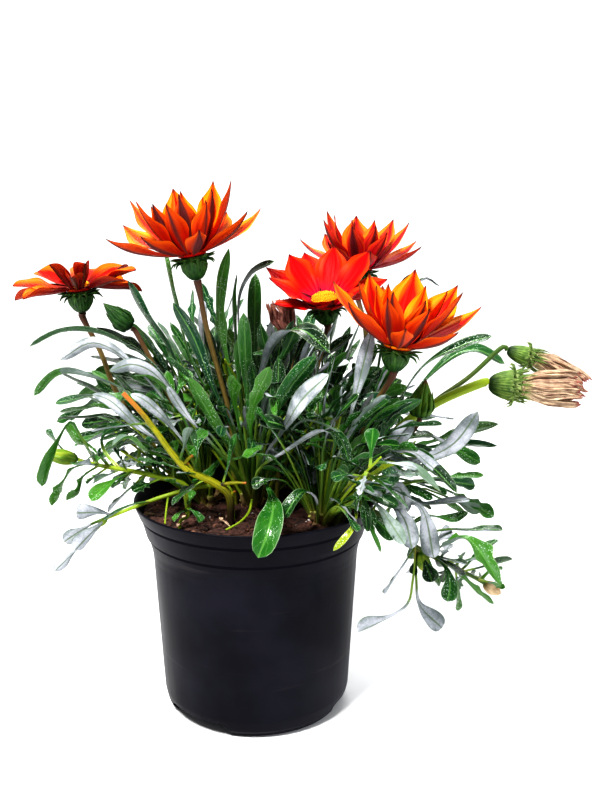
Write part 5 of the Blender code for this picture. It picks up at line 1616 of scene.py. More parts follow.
@dataclass
class Placement:
    """Rule that places every leaf: those of the photograph, those it hides, and those of the looks alone."""

    room: Room
    low: Array
    high: Array
    nudges: tuple[Pair, ...] = ((0, 0), (-5, 0), (5, 0), (0, 4), (-10, 2), (10, 2), (-15, 4), (15, 4),
                                (-21, 0), (21, 0), (-28, 6), (28, 6))
    widen: float = 1.12
    tries: int = 40
    fine_tries: int = 26
    fine_clear: float = 0.9
    fine_root_share: float = 0.5
    fine_across: tuple[float, float, int] = (-0.5, 0.5, 3)
    aim_reach: float = 50.0
    tuft: int = 8
    tuft_widths: Pair = (2.3, 4.6)
    draw: Draw = field(default_factory=lambda: Draw(SEED))
    roots: dict[str, list[Array]] = field(default_factory=dict)
    stems: dict[str, Array] = field(default_factory=dict)
    leaves: dict[str, list[Leaf]] = field(default_factory=dict)
    shoots: dict[str, list[Array]] = field(default_factory=dict)

    def inside(self, path: Array) -> bool:
        """Whether a path stays in the box of the solids, less the inset."""
        return bool(np.all((path > self.low) & (path < self.high)))

    def add(self, owner: str, leaf: Leaf) -> bool:
        """Adds a leaf if it is clear, and says whether it was.

        Args:
            owner: Its crown or spray.
            leaf: The leaf.

        Returns:
            Whether it was clear.
        """
        fits = self.room.fits(owner, leaf)
        if fits:
            self.leaves[owner].append(leaf)
        return fits

    def attempt(self, add: Callable[[], bool]) -> None:
        """Tries to add a leaf until one is clear, but not for ever.

        Args:
            add: Draws and adds one leaf, and says whether it was clear.
        """
        for _ in range(self.tries):
            if add():
                return

    def close(self, owner: str, root: Array) -> None:
        """Strikes a root off the open places of a crown."""
        self.roots[owner] = [place for place in self.roots[owner] if place is not root]

    def seen_leaf(self, leaf: SeenLeaf) -> None:
        """Adds a leaf of the photograph, bent in depth until it is clear.

        Args:
            leaf: The leaf; on a crown it starts at the nearest open root, and on a spray at its stem.
        """
        places = np.array([CAMERA.seen(*p) for p in leaf.places])
        crown = CROWNS.get(leaf.owner)
        if crown:
            root = crown.root_for(places[len(places) // 2], self.roots[leaf.owner])
            base = np.vstack([root, places])
        else:
            spine = self.stems[leaf.owner]
            base = np.vstack([spine[np.linalg.norm(spine - places[0], axis=1).argmin()], places[1:]])
        share = evenly(len(base))[:, None]
        for deeper, higher in self.nudges:
            path = base + share * np.array([0.0, deeper, higher])
            run = path[-1] - path[0]
            plan = unit(np.array([run[0], run[1] if abs(run[1]) + abs(run[0]) > 1 else 1.0, 0.0]))
            if self.add(leaf.owner, Leaf(path, leaf.half_width * self.widen, leaf.bare, leaf.turns, plan,
                                         leaf.outline, leaf.shows, leaf.slim, leaf.twist)):
                if crown:
                    self.close(leaf.owner, root)
                return

    def fill(self, rule: FillRule, fine: bool) -> None:
        """Adds leaves of one crown, each drawn at random until it is clear.

        Args:
            rule: What to draw.
            fine: Whether only the looks have them; then they sway, stay inside, and may share a root.
        """
        for _ in range(rule.count):
            self.attempt(lambda: self.drawn_leaf(rule, fine))

    def drawn_leaf(self, rule: FillRule, fine: bool) -> bool:
        """Draws one leaf of a crown, and says whether it could be added.

        Args:
            rule: What to draw.
            fine: Whether only the looks have it.

        Returns:
            Whether it was clear.
        """
        draw = self.draw
        out, lean, length = rule.aim(draw)
        half_width = draw.uniform(*rule.widths)
        bare = draw.uniform(0.42, 0.6)
        turns = (draw.uniform(-20, 20), draw.uniform(-45, 45))
        droop = draw.uniform(0.05, 0.30) * math.sin(lean)
        outline = draw.choice(["spoon", "spoon", "spoon", "toothed"])
        root = self.root_towards(rule.owner, out, lean)
        reach, rise = length * math.sin(lean), length * math.cos(lean)
        path = root + np.array([out * reach * s + np.array([0, 0, rise * (s + droop * 4 * s * (1 - s))])
                                for s in (0.0, 0.3, 0.62, 1.0)])
        if fine:
            sway = np.outer((0, 0.5, 1.0, 0.6), np.cross(UP, out)) * draw.uniform(-0.14, 0.14)
            arch = np.outer((0, 0.05, 0.12, 0.30), out) - np.outer((0, 0.0, 0.10, 0.55), UP)
            path = path + (sway + arch * draw.uniform(0.0, 0.8)) * length
            if not self.inside(path[1:]):
                return False
            turns, bare = (turns[0], turns[1] * 1.8), draw.uniform(0.5, 0.76)
            outline = draw.choice(["spoon", "toothed", "lobed"])
            return self.add(rule.owner, Leaf(path, half_width, bare, turns, out, outline))
        fits = self.add(rule.owner, Leaf(path, half_width, bare, turns, out, outline, GREEN, 0.82))
        if fits:
            self.close(rule.owner, root)
        return fits

    def root_towards(self, owner: str, out: Array, lean: float) -> Array:
        """Open root of a crown on the side that a leaf leans to.

        Args:
            owner: The crown.
            out: Level direction in which the leaf leans.
            lean: Its lean from upright, in radians.

        Returns:
            Place of the root.
        """
        crown = CROWNS[owner]
        return crown.root_for(np.array([*crown.middle, 0.0]) + out * self.aim_reach * math.sin(lean),
                              self.roots[owner])

    def sprout(self, name: str, count: int, part: Pair, widths: Pair) -> None:
        """Adds small leaves along a spray's stem, each where it is clear.

        Args:
            name: The spray.
            count: Number of leaves to try for.
            part: Part of the stem that they grow from.
            widths: Half widths to draw from.
        """
        stem = self.stems[name]
        for _ in range(count):
            self.attempt(lambda: self.leaflet(
                name, stem, int(self.draw.uniform(*part) * (len(stem) - 2)), widths))

    def leaflet(self, owner: str, stem: Array, spot: int, widths: Pair) -> bool:
        """Adds a small leaf at one point of a stem if it is clear there.

        Args:
            owner: The crown or spray.
            stem: Points of its stem.
            spot: Which of them.
            widths: Half widths to draw from.

        Returns:
            Whether the leaf was added.
        """
        draw = self.draw
        along = unit(stem[spot + 1] - stem[spot])
        away = unit(np.cross(along, unit(np.array([draw.gauss(0, 1) for _ in range(3)]))))
        run = unit(away + along * draw.uniform(0.1, 0.9) + UP * draw.uniform(-0.3, 0.5))
        length = draw.uniform(15, 36)
        droop = UP * draw.uniform(-0.02, 0.30) * length
        path = stem[spot] + np.array([run * length * s - droop * s ** 2 for s in (0.0, 0.35, 0.7, 1.0)])
        plan = unit(run * np.array([1.0, 1.0, 0.0]) + np.array([0.001, 0.0, 0.0]))
        leaf = Leaf(path, draw.uniform(*widths), draw.uniform(0.2, 0.45),
                    (draw.uniform(-40, 40), draw.uniform(-70, 70)), plan,
                    draw.choice(["spoon", "spoon", "lobed"]))
        return self.inside(path) and self.add(owner, leaf)

    def shoot(self, rule: FillRule) -> None:
        """Adds thin side shoots to a crown, each with a tuft of small leaves round its upper half.

        Args:
            rule: What to draw.
        """
        for _ in range(rule.count):
            out, lean, length = rule.aim(self.draw)
            root = self.root_towards(rule.owner, out, lean)
            run = out * math.sin(lean) + UP * math.cos(lean)
            line = smooth([root + (run * s + out * 0.12 * s * s) * length for s in (0, 0.3, 0.62, 1.0)],
                          evenly(40))
            half = len(line) // 2
            if self.inside(line[4:]):
                self.shoots[rule.owner].append(line)
                self.room.take(rule.owner, line, 0.4, half)
                for number in range(self.tuft):
                    spot = half + int((half - 2) * (number + self.draw.random()) / self.tuft)
                    self.attempt(lambda: self.leaflet(rule.owner, line, spot, self.tuft_widths))

    def run(self) -> None:
        """Places all leaves: first those of the solids, then closer together those of the looks alone."""
        for crown in CROWNS.values():
            self.room.take(crown.name, np.array([[*crown.middle, SOIL_TOP + 1.0]]), crown.radius)
        for spray in SPRAYS.values():
            self.stems[spray.name] = smooth(spray.line(), evenly(STEM_STEPS))
            self.room.take(spray.name, self.stems[spray.name], max(spray.radii) - self.room.stem_spare)
        self.leaves = {name: [] for name in [*CROWNS, *SPRAYS]}
        self.shoots = {name: [] for name in CROWNS}
        self.roots = {crown.name: crown.open_roots() for crown in CROWNS.values()}
        for leaf in SEEN_LEAVES:
            self.seen_leaf(leaf)
        for rule in FILL:
            self.fill(rule, False)
        self.room.clear, self.room.root_share = self.fine_clear, self.fine_root_share
        self.room.across, self.tries = self.fine_across, self.fine_tries
        self.roots = {crown.name: crown.open_roots() for crown in CROWNS.values()}
        for row in SPROUTS:
            self.sprout(*row)
        for rule in SHOOTS:
            self.shoot(rule)
        for rule in FINE_FILL:
            self.fill(rule, True)


@dataclass(frozen=True)
class Bloom:
    """Open bloom.

    Seat is the middle of its petals; lean is degrees to the right and towards the viewer; each row of
    petals is (count, rise at the root, rise at the tip, length). Rolled is how far the petals roll up,
    hook how far their tips turn up, droop how far all of them hang, in degrees, and trim and broad their
    size by that of the solids. The ones nearest to the photograph's eye hang lower by drop degrees, are
    shorter and narrower by a share, and furl. The rows start at first_start from the axis, and each next
    one start_step nearer; the looks' own inner row is narrower.
    """

    name: str
    seat: Pixel
    lean: Pair
    spin: float
    scale: float
    rows: tuple[tuple[int, float, float, float], ...]
    stem: tuple[Pixel, ...]
    root: Pair
    colour: str = "orange"
    rolled: float = 0.0
    drop: float = 0.0
    droop: float = 0.0
    hook: float = 3.2
    trim: float = 0.92
    broad: float = 1.24
    shorter: float = 0.14
    narrower: float = 0.46
    furl: float = 0.6
    disc_radius: float = 6.0
    cup_profile: tuple[Pair, ...] = ((8.6, 0.0), (9.6, -2.2), (9.0, -8.0), (5.8, -12.2), (2.6, -14.0))
    plate: Pair = (8.2, 1.8)
    inner: tuple[int, float, float, float] = (6, 52, 80, 36)
    first_start: float = 6.9
    start_step: float = 0.2
    inner_start: float = 6.4
    petal_width: float = 7.0
    inner_width: float = 5.4
    stem_radius: float = 1.7
    petal_outline: tuple[Pair, ...] = ((0.0, 0.32), (0.12, 0.62), (0.28, 1.0), (0.46, 1.26), (0.62, 1.28),
                                       (0.75, 1.02), (0.86, 0.56), (0.94, 0.22), (1.0, 0.0))
    steps: int = 33
    stations: int = 21
    solid_outline: tuple[Pair, ...] = ((0.0, 0.17), (0.32, 0.86), (0.58, 1.0), (0.82, 0.70), (1.0, 0.0))
    florets: int = 110

    def build(self, bench: Bench) -> None:
        """Makes its cup, petals, disc and stem, and takes their room.

        Args:
            bench: What it is made with.
        """
        seat = CAMERA.seen(*self.seat)
        lean = [math.tan(math.radians(a)) for a in self.lean]
        axis = unit(np.array([lean[0], -lean[1], 1.0]))
        place = axis_frame(seat, axis)
        top = -self.plate[1] / 2 - GAP
        profile = [(r, z + top) for r, z in self.cup_profile]
        cup = Shape(self.name + "_bracts")
        slim = [(r * 0.82, z) for r, z in profile[:-1]] + [profile[-1]]
        add_cup(cup, slim, 12, 6.6, place, bench.fine, lobes=12)
        bench.present(cup, "bract", "bracts", self.name + "_cup")
        self.petals(place, bench)
        self.disc(place, bench)
        bench.room.take(self.name + "_cup", seat + np.outer(np.linspace(-14, -2, 6), axis), 10.5)
        line = stem_line(seat + axis * (profile[-1][1] - GAP), axis, self.stem, self.root)
        bench.room.take_stem(self.name + "_stem", line, self.stem_radius + 0.2)
        radii = np.linspace(self.stem_radius + 0.1, self.stem_radius - 0.2, 70)
        radii[-6:] *= np.linspace(1.0, 1.6, 6)
        bench.stalk(self.name, line, radii, (0.03, 30.0, 5))

    def petals(self, place: Place, bench: Bench) -> None:
        """Makes the ray petals, on the plate that the cup holds, and takes the room of the solid's petals.

        Args:
            place: Place of the bloom.
            bench: What it is made with.
        """
        draw, fine = bench.draw, bench.fine
        shape = Shape(self.name + "_petals")
        wide, half = self.plate[0], self.plate[1] / 2
        add_turned(shape, np.array([(0, half), (wide - 0.3, half), (wide, half - 0.3), (wide, 0.3 - half),
                                    (wide - 0.3, -half), (0, -half)]), 48, place)
        outline = profile_curve(self.petal_outline, evenly(self.stations))
        outline[-1] = 0.0
        samples = []
        for row, (count, low, high, length) in enumerate(self.rows):
            start = self.first_start - self.start_step * row
            for number in range(count):
                out = level(FULL_TURN * (number + 0.5 * row) / count
                            + math.radians(self.spin + draw.uniform(-5, 5)))
                reach = length * self.scale * draw.uniform(0.93, 1.05)
                lift = draw.uniform(-4, 4)
                near = self.nearness(place, out)
                fall = lift - self.drop * near - self.droop
                turns = (draw.uniform(-8, 8), draw.uniform(-14, 14))
                size = self.petal_width * self.scale * draw.uniform(0.92, 1.05)
                shown = self.petal_line(out, low + fall, high + fall,
                                        reach * self.trim * (1 - self.shorter * near), start)
                self.petal(shape, shown, out, size * self.broad * outline * (1 - self.narrower * near), turns,
                           place, fine, self.furl * near)
                curve = self.petal_line(out, low + lift, high + lift, reach, start)
                samples.append(self.solid_petal(curve, out, size, turns))
        count, low, high, length = self.inner
        for number in range(count):
            out = level(FULL_TURN * (number + fine.uniform(-0.2, 0.2)) / count)
            curve = self.petal_line(out, low, high, length * self.scale * fine.uniform(0.85, 1.05),
                                    self.inner_start)
            turns = (fine.uniform(-12, 12), fine.uniform(-30, 30))
            self.petal(shape, curve, out, self.inner_width * self.scale * outline, turns, place, fine,
                       0.3 * self.nearness(place, out))
        slot = "red_petals" if self.colour == "red" else "orange_petals"
        bench.present(shape, self.colour + "_petal", slot, self.name + "_rays")
        bench.room.take(self.name + "_rays", placed(np.vstack(samples), place), 0.4)

    def solid_petal(self, curve: Array, out: Array, size: float, turns: Pair) -> Array:
        """Points spread over the petal of the solid.

        Args:
            curve: Its middle line.
            out: Level direction that it points in.
            size: Its greatest half width.
            turns: Degrees by which it turns at its root and tip.

        Returns:
            The points, in the frame of the bloom.
        """
        shares, widths = (np.array(column) for column in zip(*self.solid_outline))
        dense = evenly(24)
        held = resampled(curve, evenly(self.steps), shares)
        side, _ = frames(held, out, UP, turns)
        edge = np.interp(dense, shares, size * widths)
        middle, spread = resampled(held, shares, dense), resampled(side, shares, dense)
        reach = (edge[:, None] * np.linspace(-1, 1, 7))[:, :, None]
        return (middle[:, None] + spread[:, None] * reach).reshape(-1, 3)

    def nearness(self, place: Place, out: Array) -> float:
        """How much a petal points at the photograph's eye, from 0 to 1."""
        towards = unit((np.array(CAMERA.eye) - place[1]) * np.array([1.0, 1.0, 0.0]))
        return float(np.clip((place[0] @ out @ towards - 0.30) / 0.5, 0, 1))

    def petal_line(self, out: Array, low: float, high: float, reach: float, start: float) -> Array:
        """Middle line of a petal, in equal steps whose rise goes evenly from low to high.

        Args:
            out: Level direction that it points in.
            low: Rise at its root, in degrees.
            high: Rise at its tip.
            reach: Its length.
            start: Distance of its root from the axis.

        Returns:
            Its points, in the frame of the bloom.
        """
        rise = np.radians(np.linspace(low, high, self.steps))
        step = out * np.cos(rise)[:, None] + UP * np.sin(rise)[:, None]
        curve = np.cumsum(step, axis=0) * reach / self.steps
        return curve - curve[0] + out * start

    def petal(self, shape: Shape, curve: Array, out: Array, width: Array, turns: Pair, place: Place,
              fine: Draw, fold: float) -> None:
        """Adds one petal, whose tip hooks upwards.

        Args:
            shape: The bloom's petals.
            curve: Its middle line.
            out: Level direction that it points in.
            width: Half width at each station.
            turns: Degrees by which it turns at its root and tip.
            place: Place of the bloom.
            fine: Draws for its fold, its waves and its tint.
            fold: How much more it folds than the others.
        """
        share = evenly(self.stations)
        hook = self.hook * self.scale * np.clip((share - 0.6) / 0.4, 0, 1) ** 2
        spine = resampled(curve, evenly(self.steps), share) + hook[:, None] * UP
        form = BladeForm(thick=0.5, stalk=0.9, curl=1.6, wave=fine.uniform(0.04, 0.13),
                         fold=0.14 + fine.uniform(0.0, 0.14) + self.rolled * fine.random() + fold,
                         waves=fine.uniform(1.0, 2.2), sweep=0.12, cells=8)
        add_spike(shape, form, spine, out, UP, np.maximum(width, 0.0), place, fine.random(), turns,
                  fine.uniform(0, 6.3))

    def disc(self, place: Place, bench: Bench) -> None:
        """Makes the disc: a low dome with florets spread as seeds are in a sunflower.

        Args:
            place: Place of the bloom.
            bench: What it is made with.
        """
        fine = bench.fine
        bottom = self.plate[1] / 2 + GAP
        wide = self.disc_radius / 6.0
        dome = [(0.0, bottom + 2.4), (1.7 * wide, bottom + 2.3), (3.5 * wide, bottom + 1.9),
                (5.0 * wide, bottom + 1.2), (6.0 * wide, bottom), (0.0, bottom)]
        shape = Shape(self.name + "_florets")
        add_turned(shape, np.array(dome), 32, place, tint=0.2)
        count = int(self.florets * wide ** 2)
        radii, heights = zip(*dome[:-1])
        for number in range(count):
            share = math.sqrt((number + 0.5) / count)
            away = 5.9 * wide * share
            out = level(number * GOLDEN_ANGLE)
            tall = wide * (fine.uniform(0.7, 1.1) + 0.6 * share ** 2)
            foot = out * away + UP * np.interp(away, radii, heights)
            local = axis_frame(foot, unit(UP + out * share * 0.5))
            floret = np.array([(0, tall), (0.30, tall * 0.92), (0.46, tall * 0.55), (0.34, -0.2), (0, -0.2)])
            points, faces = turned_patch(floret, 6)
            along = np.clip(points[:, 2] / tall, 0, 1)
            shape.add(placed(placed(points, local), place), faces, 0, 0.0, along, 1.0, fine.random())
        bench.present(shape, "floret", "disc", self.name + "_disc")


BLOOMS = (
    Bloom("bloom_top_left", (192, 254, -10), (-10, 2), 6, 1.0, ((8, 8, 38, 49), (7, 38, 70, 46)),
          ((197, 292, -10), (207, 330, -8), (222, 385, -4), (232, 430, 0)), (-13, 5)),
    Bloom("bloom_far_left", (79, 288, 20), (-4, 6), 0, 0.92, ((7, -2, 18, 42), (7, 20, 42, 40)),
          ((88, 320, 20), (98, 345, 18), (118, 395, 16), (160, 455, 10)), (-46, 12), "ember",
          rolled=0.45, hook=-3.0, drop=-34.0, droop=15.0, inner=(0, 0, 0, 0), broad=1.12, petal_outline=(
              (0.0, 0.32), (0.12, 0.62), (0.28, 0.98), (0.46, 1.24), (0.62, 1.30), (0.76, 1.10), (0.88, 0.66),
              (0.95, 0.32), (1.0, 0.0))),
    Bloom("bloom_red", (325, 302, 6), (-6, 24), 12, 0.95, ((7, 10, 30, 42), (7, 26, 46, 40)),
          ((322, 352, 12), (316, 372, 10), (308, 430, 6)), (27, 4), "red", drop=-6.0, hook=1.2,
          inner=(0, 0, 0, 0), disc_radius=7.6, shorter=0.55, narrower=0.15, furl=0.2, broad=1.12),
    Bloom("bloom_front", (398, 345, -54), (9, 7), 3, 0.98, ((7, 18, 44, 48), (7, 42, 66, 45)),
          ((387, 376, -50), (379, 392, -47), (368, 418, -41), (358, 450, -33)), (54, -25)),
    Bloom("bloom_back", (360, 268, 76), (4, 2), 10, 0.95, ((7, 10, 38, 47), (7, 38, 66, 45)),
          ((363, 310, 64), (366, 350, 54), (362, 420, 36)), (46, 14), "rose"),
)


@dataclass(frozen=True)
class Withered:
    """Withered head that lies on its side: seat, the pixel that its axis points to, cup size and petals.

    Extra petals are the looks' own, longer and wider than the rest by a factor; sag is how far the
    petals hang, and strand the width of a dry petal by that of a fresh one.
    """

    name: str
    seat: Pixel
    aim: Pixel
    cup: Pair
    petals: int
    length: float
    spread: float
    stem: tuple[Pixel, ...]
    root: Pair
    radius: float
    teeth: int = 16
    extra: int = 14
    longer: float = 1.0
    wider: float = 1.0
    sag: float = 0.0
    strand: float = 0.62
    slimmer: float = 1.0
    finishes: tuple[str, str] = ("dry_petal", "green_stem")
    slots: tuple[str, str] = ("dry_petals", "green_stem")

    def build(self, bench: Bench) -> None:
        """Makes its cup, its rolled petals and its stem, and takes their room.

        Args:
            bench: What it is made with.
        """
        draw, fine = bench.draw, bench.fine
        seat = CAMERA.seen(*self.seat)
        axis = unit(CAMERA.seen(*self.aim) - seat)
        place = axis_frame(seat, axis)
        radius, depth = self.cup
        profile = [(radius * 0.90, -GAP), (radius * 0.98, -depth * 0.22), (radius * 0.84, -depth * 0.58),
                   (radius * 0.60, -depth * 0.86), (self.radius + 0.4, -depth)]
        cup = Shape(self.name + "_bracts")
        add_cup(cup, profile, self.teeth, radius * 0.55, place, fine)
        self.needles(cup, place, fine)
        bench.present(cup, "dry_bract", "bracts", self.name + "_cup")
        core = Shape(self.name + "_petals")
        add_turned(core, round_profile([(0.0, 3.0), (radius * 0.5, 2.2), (radius * 0.74, 0.9),
                                        (radius * 0.74, 0.0), (0.0, 0.0)], 0.6), 32, place, tint=0.1)
        for number in range(self.petals):
            self.petal(core, place, FULL_TURN * (number + draw.uniform(-0.2, 0.2)) / self.petals,
                       0.56 if number % 2 else 0.36, draw, fine, 1.0)
        for _ in range(self.extra):
            self.petal(core, place, fine.uniform(0, FULL_TURN), fine.uniform(0.1, 0.6 * self.wider),
                       fine, fine, self.longer)
        bench.present(core, self.finishes[0], self.slots[0], self.name + "_rays")
        middle = seat + np.outer(np.linspace(-depth, self.length, 14), axis)
        bench.room.take(self.name + "_rays", middle, radius + 2.5)
        line = stem_line(seat - axis * (depth + GAP), axis, self.stem, self.root)
        bench.room.take_stem(self.name + "_stem", line, self.radius)
        bench.stalk(self.name, line, np.full(80, self.slimmer * self.radius), (0.04, 24.0, 8), 18,
                    self.finishes[1], self.slots[1])

    def needles(self, cup: Shape, place: Place, fine: Draw) -> None:
        """Adds needle teeth that stand along the cup's mouth and lie on its petals.

        Args:
            cup: The cup.
            place: Place of the head.
            fine: Draws for the needles.
        """
        radius, depth = self.cup
        share = evenly(8)
        form = BladeForm(thick=0.8, fold=0.1, cells=4, sweep=0.0)
        count = 4 * self.teeth
        for number in range(count):
            out = level(FULL_TURN * (number + fine.uniform(-0.3, 0.3)) / count)
            start = -depth * fine.uniform(0.05, 0.65)
            length = depth * fine.uniform(0.30, 0.62)
            away = radius * 0.97 + start * 0.16
            spine = smooth([out * (away - 0.6) + UP * start, out * (away + 0.9) + UP * (start + length * 0.5),
                            out * (away + fine.uniform(0.4, 3.4)) + UP * (start + length)], share)
            add_spike(cup, form, spine, UP, out, 0.75 * (1 - share) ** 0.6, place, fine.random())

    def petal(self, shape: Shape, place: Place, bearing: float, start: float, draw: Draw, fine: Draw,
              longer: float) -> None:
        """Adds one dry petal, rolled into a crooked channel.

        Its middle runs up the axis and out by spread * sin(2 s), and sways by sin(3.4 s) to the side.

        Args:
            shape: The head's petals.
            place: Place of the head.
            bearing: Its side of the head, in radians.
            start: Distance of its root from the axis, as a share of the cup's radius.
            draw: Draws for its path.
            fine: Draws for its fold and its tint.
            longer: Factor on its length.
        """
        out = level(bearing)
        around = np.cross(UP, out)
        length = self.length * longer * draw.uniform(0.82, 1.08)
        spread = self.spread * draw.uniform(0.6, 1.15)
        sway = draw.uniform(-2.2, 2.2)
        turns = (draw.uniform(-50, 50), draw.uniform(-50, 50))
        s = evenly(16)
        spine = (np.outer(self.cup[0] * start + spread * np.sin(s * 2.0) * 0.55, out)
                 + np.outer(length * s, UP)
                 + np.outer(sway * np.sin(s * 3.4) + 0.5 * np.sin(s * 11.0 + bearing), around) + UP
                 - np.outer(self.sag * s ** 2, place[0].T @ UP))
        width = self.strand * profile_curve([(0, 1.2), (0.33, 2.2), (0.70, 2.0), (0.92, 1.5), (1.0, 0.5)], s)
        form = BladeForm(thick=0.7, fold=fine.uniform(0.7, 1.4), curl=1.3, wave=0.22, waves=2.6)
        add_spike(shape, form, spine, UP, out, np.maximum(width, 0.0), place, fine.random(), turns,
                  fine.uniform(0, 6.3))


WITHERED = (
    Withered("withered_front", (521, 386, -12), (578, 390, -16), (9.6, 19.0), 11, 33, 9.0,
             ((470, 394, -10), (430, 405, -8), (396, 432, -8)), (57, -2), 2.7, extra=36),
    Withered("withered_back", (534, 359, 12), (588, 377, 9), (6.4, 17.0), 7, 34, 4.5,
             ((486, 369, 14), (452, 386, 16), (410, 425, 16)), (54, 22), 1.8, teeth=12, extra=20, sag=7.0,
             slimmer=0.8, finishes=("dry_petal", "dark_stem")),
    Withered("dry_head", (288, 332, 10), (280, 306, 10), (5.0, 7.0), 7, 10, 6.5,
             ((290, 356, 8), (286, 400, -2)), (13, -14), 1.4, teeth=8, extra=40, longer=1.9, wider=1.7,
             strand=0.36, finishes=("dry_brown", "flower_stem"), slots=("dry_head", "flower_stem")),
)


@dataclass(frozen=True)
class Bud:
    """Closed bud on its stem: base, tip, greatest radius, stem and root."""

    name: str
    base: Pixel
    tip: Pixel
    radius: float
    stem: tuple[Pixel, ...]
    root: Pair
    finish: str = "bud"
    bracts: int = 12
    stem_radius: float = 1.6
    profile: tuple[Pair, ...] = ((0.0, 1.0), (0.20, 0.91), (0.62, 0.66), (1.0, 0.30), (0.72, 0.08),
                                 (0.3, 0.0), (0.0, 0.0))

    def build(self, bench: Bench) -> None:
        """Makes the bud and its stem, and takes their room.

        Args:
            bench: What it is made with.
        """
        fine = bench.fine
        base, tip = CAMERA.seen(*self.base), CAMERA.seen(*self.tip)
        length = float(np.linalg.norm(tip - base))
        axis = unit(tip - base)
        place = axis_frame(base, axis)
        corners = [(self.radius * r, length * z) for r, z in self.profile]
        shape = Shape(self.name + "_bracts")
        add_turned(shape, round_profile(corners, 3.0), 96, place,
                   change=lambda t, z: 1 + 0.09 * np.cos(8 * t) - 0.02 * np.cos(16 * t))
        radii, heights = zip(*corners[::-1])
        share = evenly(12)
        form = BladeForm(thick=0.8, fold=0.0, cells=4, sweep=0.0)
        for number in range(self.bracts):
            out = level(FULL_TURN * (number + 0.5) / self.bracts)
            tall = fine.uniform(0.38, 0.52) if number % 2 else fine.uniform(0.62, 0.76)
            z = length * (0.06 + share * tall)
            away = np.interp(z, heights, radii) * 1.04 + 0.2 + 0.8 * share ** 3
            spine = np.outer(away, out) + np.outer(z, UP)
            add_spike(shape, form, spine, UP, out, 1.5 * (1 - share ** 2), place, fine.random())
        bench.present(shape, self.finish, "bud", self.name)
        bench.room.take(self.name, base + np.outer(evenly(8), tip - base), self.radius)
        line = stem_line(base - axis * GAP, axis, self.stem, self.root)
        bench.room.take_stem(self.name + "_stem", line, self.stem_radius)
        radii = np.linspace(self.stem_radius, self.stem_radius - 0.1, 60)
        bench.stalk(self.name, line, radii, (0.03, 30.0, 6))


BUDS = (
    Bud("bud_right", (419, 417, -24), (426, 379, -26), 7.2, ((414, 430, -22), (396, 452, -18)), (49, -8)),
    Bud("bud_left", (131, 328, 12), (103, 303, 10), 6.0,
        ((141, 344, 12), (152, 362, 12), (172, 402, 13), (196, 450, 15)), (-34, 17), "shaded_bud"),
)


@dataclass(frozen=True)
class Litter:
    """What lies on the soil: fallen yellow stalks, each a path and a radius, and curled dry scraps."""

    stalks: tuple[tuple[tuple[Pixel, ...], float], ...] = (
        (((252, 500, -32), (249, 512, -44), (240, 522, -54), (226, 530, -60)), 0.9),
        (((168, 498, -30), (166, 512, -42), (165, 524, -50)), 0.7))
    scraps: int = 26
    reach: float = 64.0

    def build(self, bench: Bench) -> None:
        """Makes the stalks and the scraps.

        Args:
            bench: What it is made with.
        """
        fine = bench.fine
        stalk = Shape("soil_fallen_stalk")
        for path, radius in self.stalks:
            line = smooth([CAMERA.seen(*p) for p in path], evenly(24))
            line[:, 2] = np.maximum(line[:, 2], SOIL_TOP + 0.6)
            add_tube(stalk, line, np.linspace(radius, radius * 0.7, 24), 10, 0, fine.random())
        bench.present(stalk, "green_stem", "leaves")
        scraps = Shape("soil_scraps")
        form = BladeForm(thick=0.4, fold=0.6, curl=1.4, wave=0.3, waves=1.5, cells=4)
        share = evenly(9)
        swell = np.sin(math.pi * (0.1 + 0.9 * share)).clip(0)
        for _ in range(self.scraps):
            bearing, away = fine.uniform(0, FULL_TURN), self.reach * math.sqrt(fine.random())
            middle = level(bearing) * away + UP * (SOIL_TOP + fine.uniform(0.8, 2.2))
            run = level(fine.uniform(0, FULL_TURN)) + UP * fine.uniform(-0.1, 0.4)
            length = fine.uniform(5, 12)
            line = smooth([middle, middle + run * length * 0.5 + UP * 1.2, middle + run * length], share)
            width = fine.uniform(0.6, 1.4) * swell
            turns = (fine.uniform(-40, 40), fine.uniform(-90, 90))
            add_spike(scraps, form, line, run, UP, width, (np.eye(3), np.zeros(3)), fine.random(), turns)
        bench.present(scraps, "dry_petal", "dry_petals")


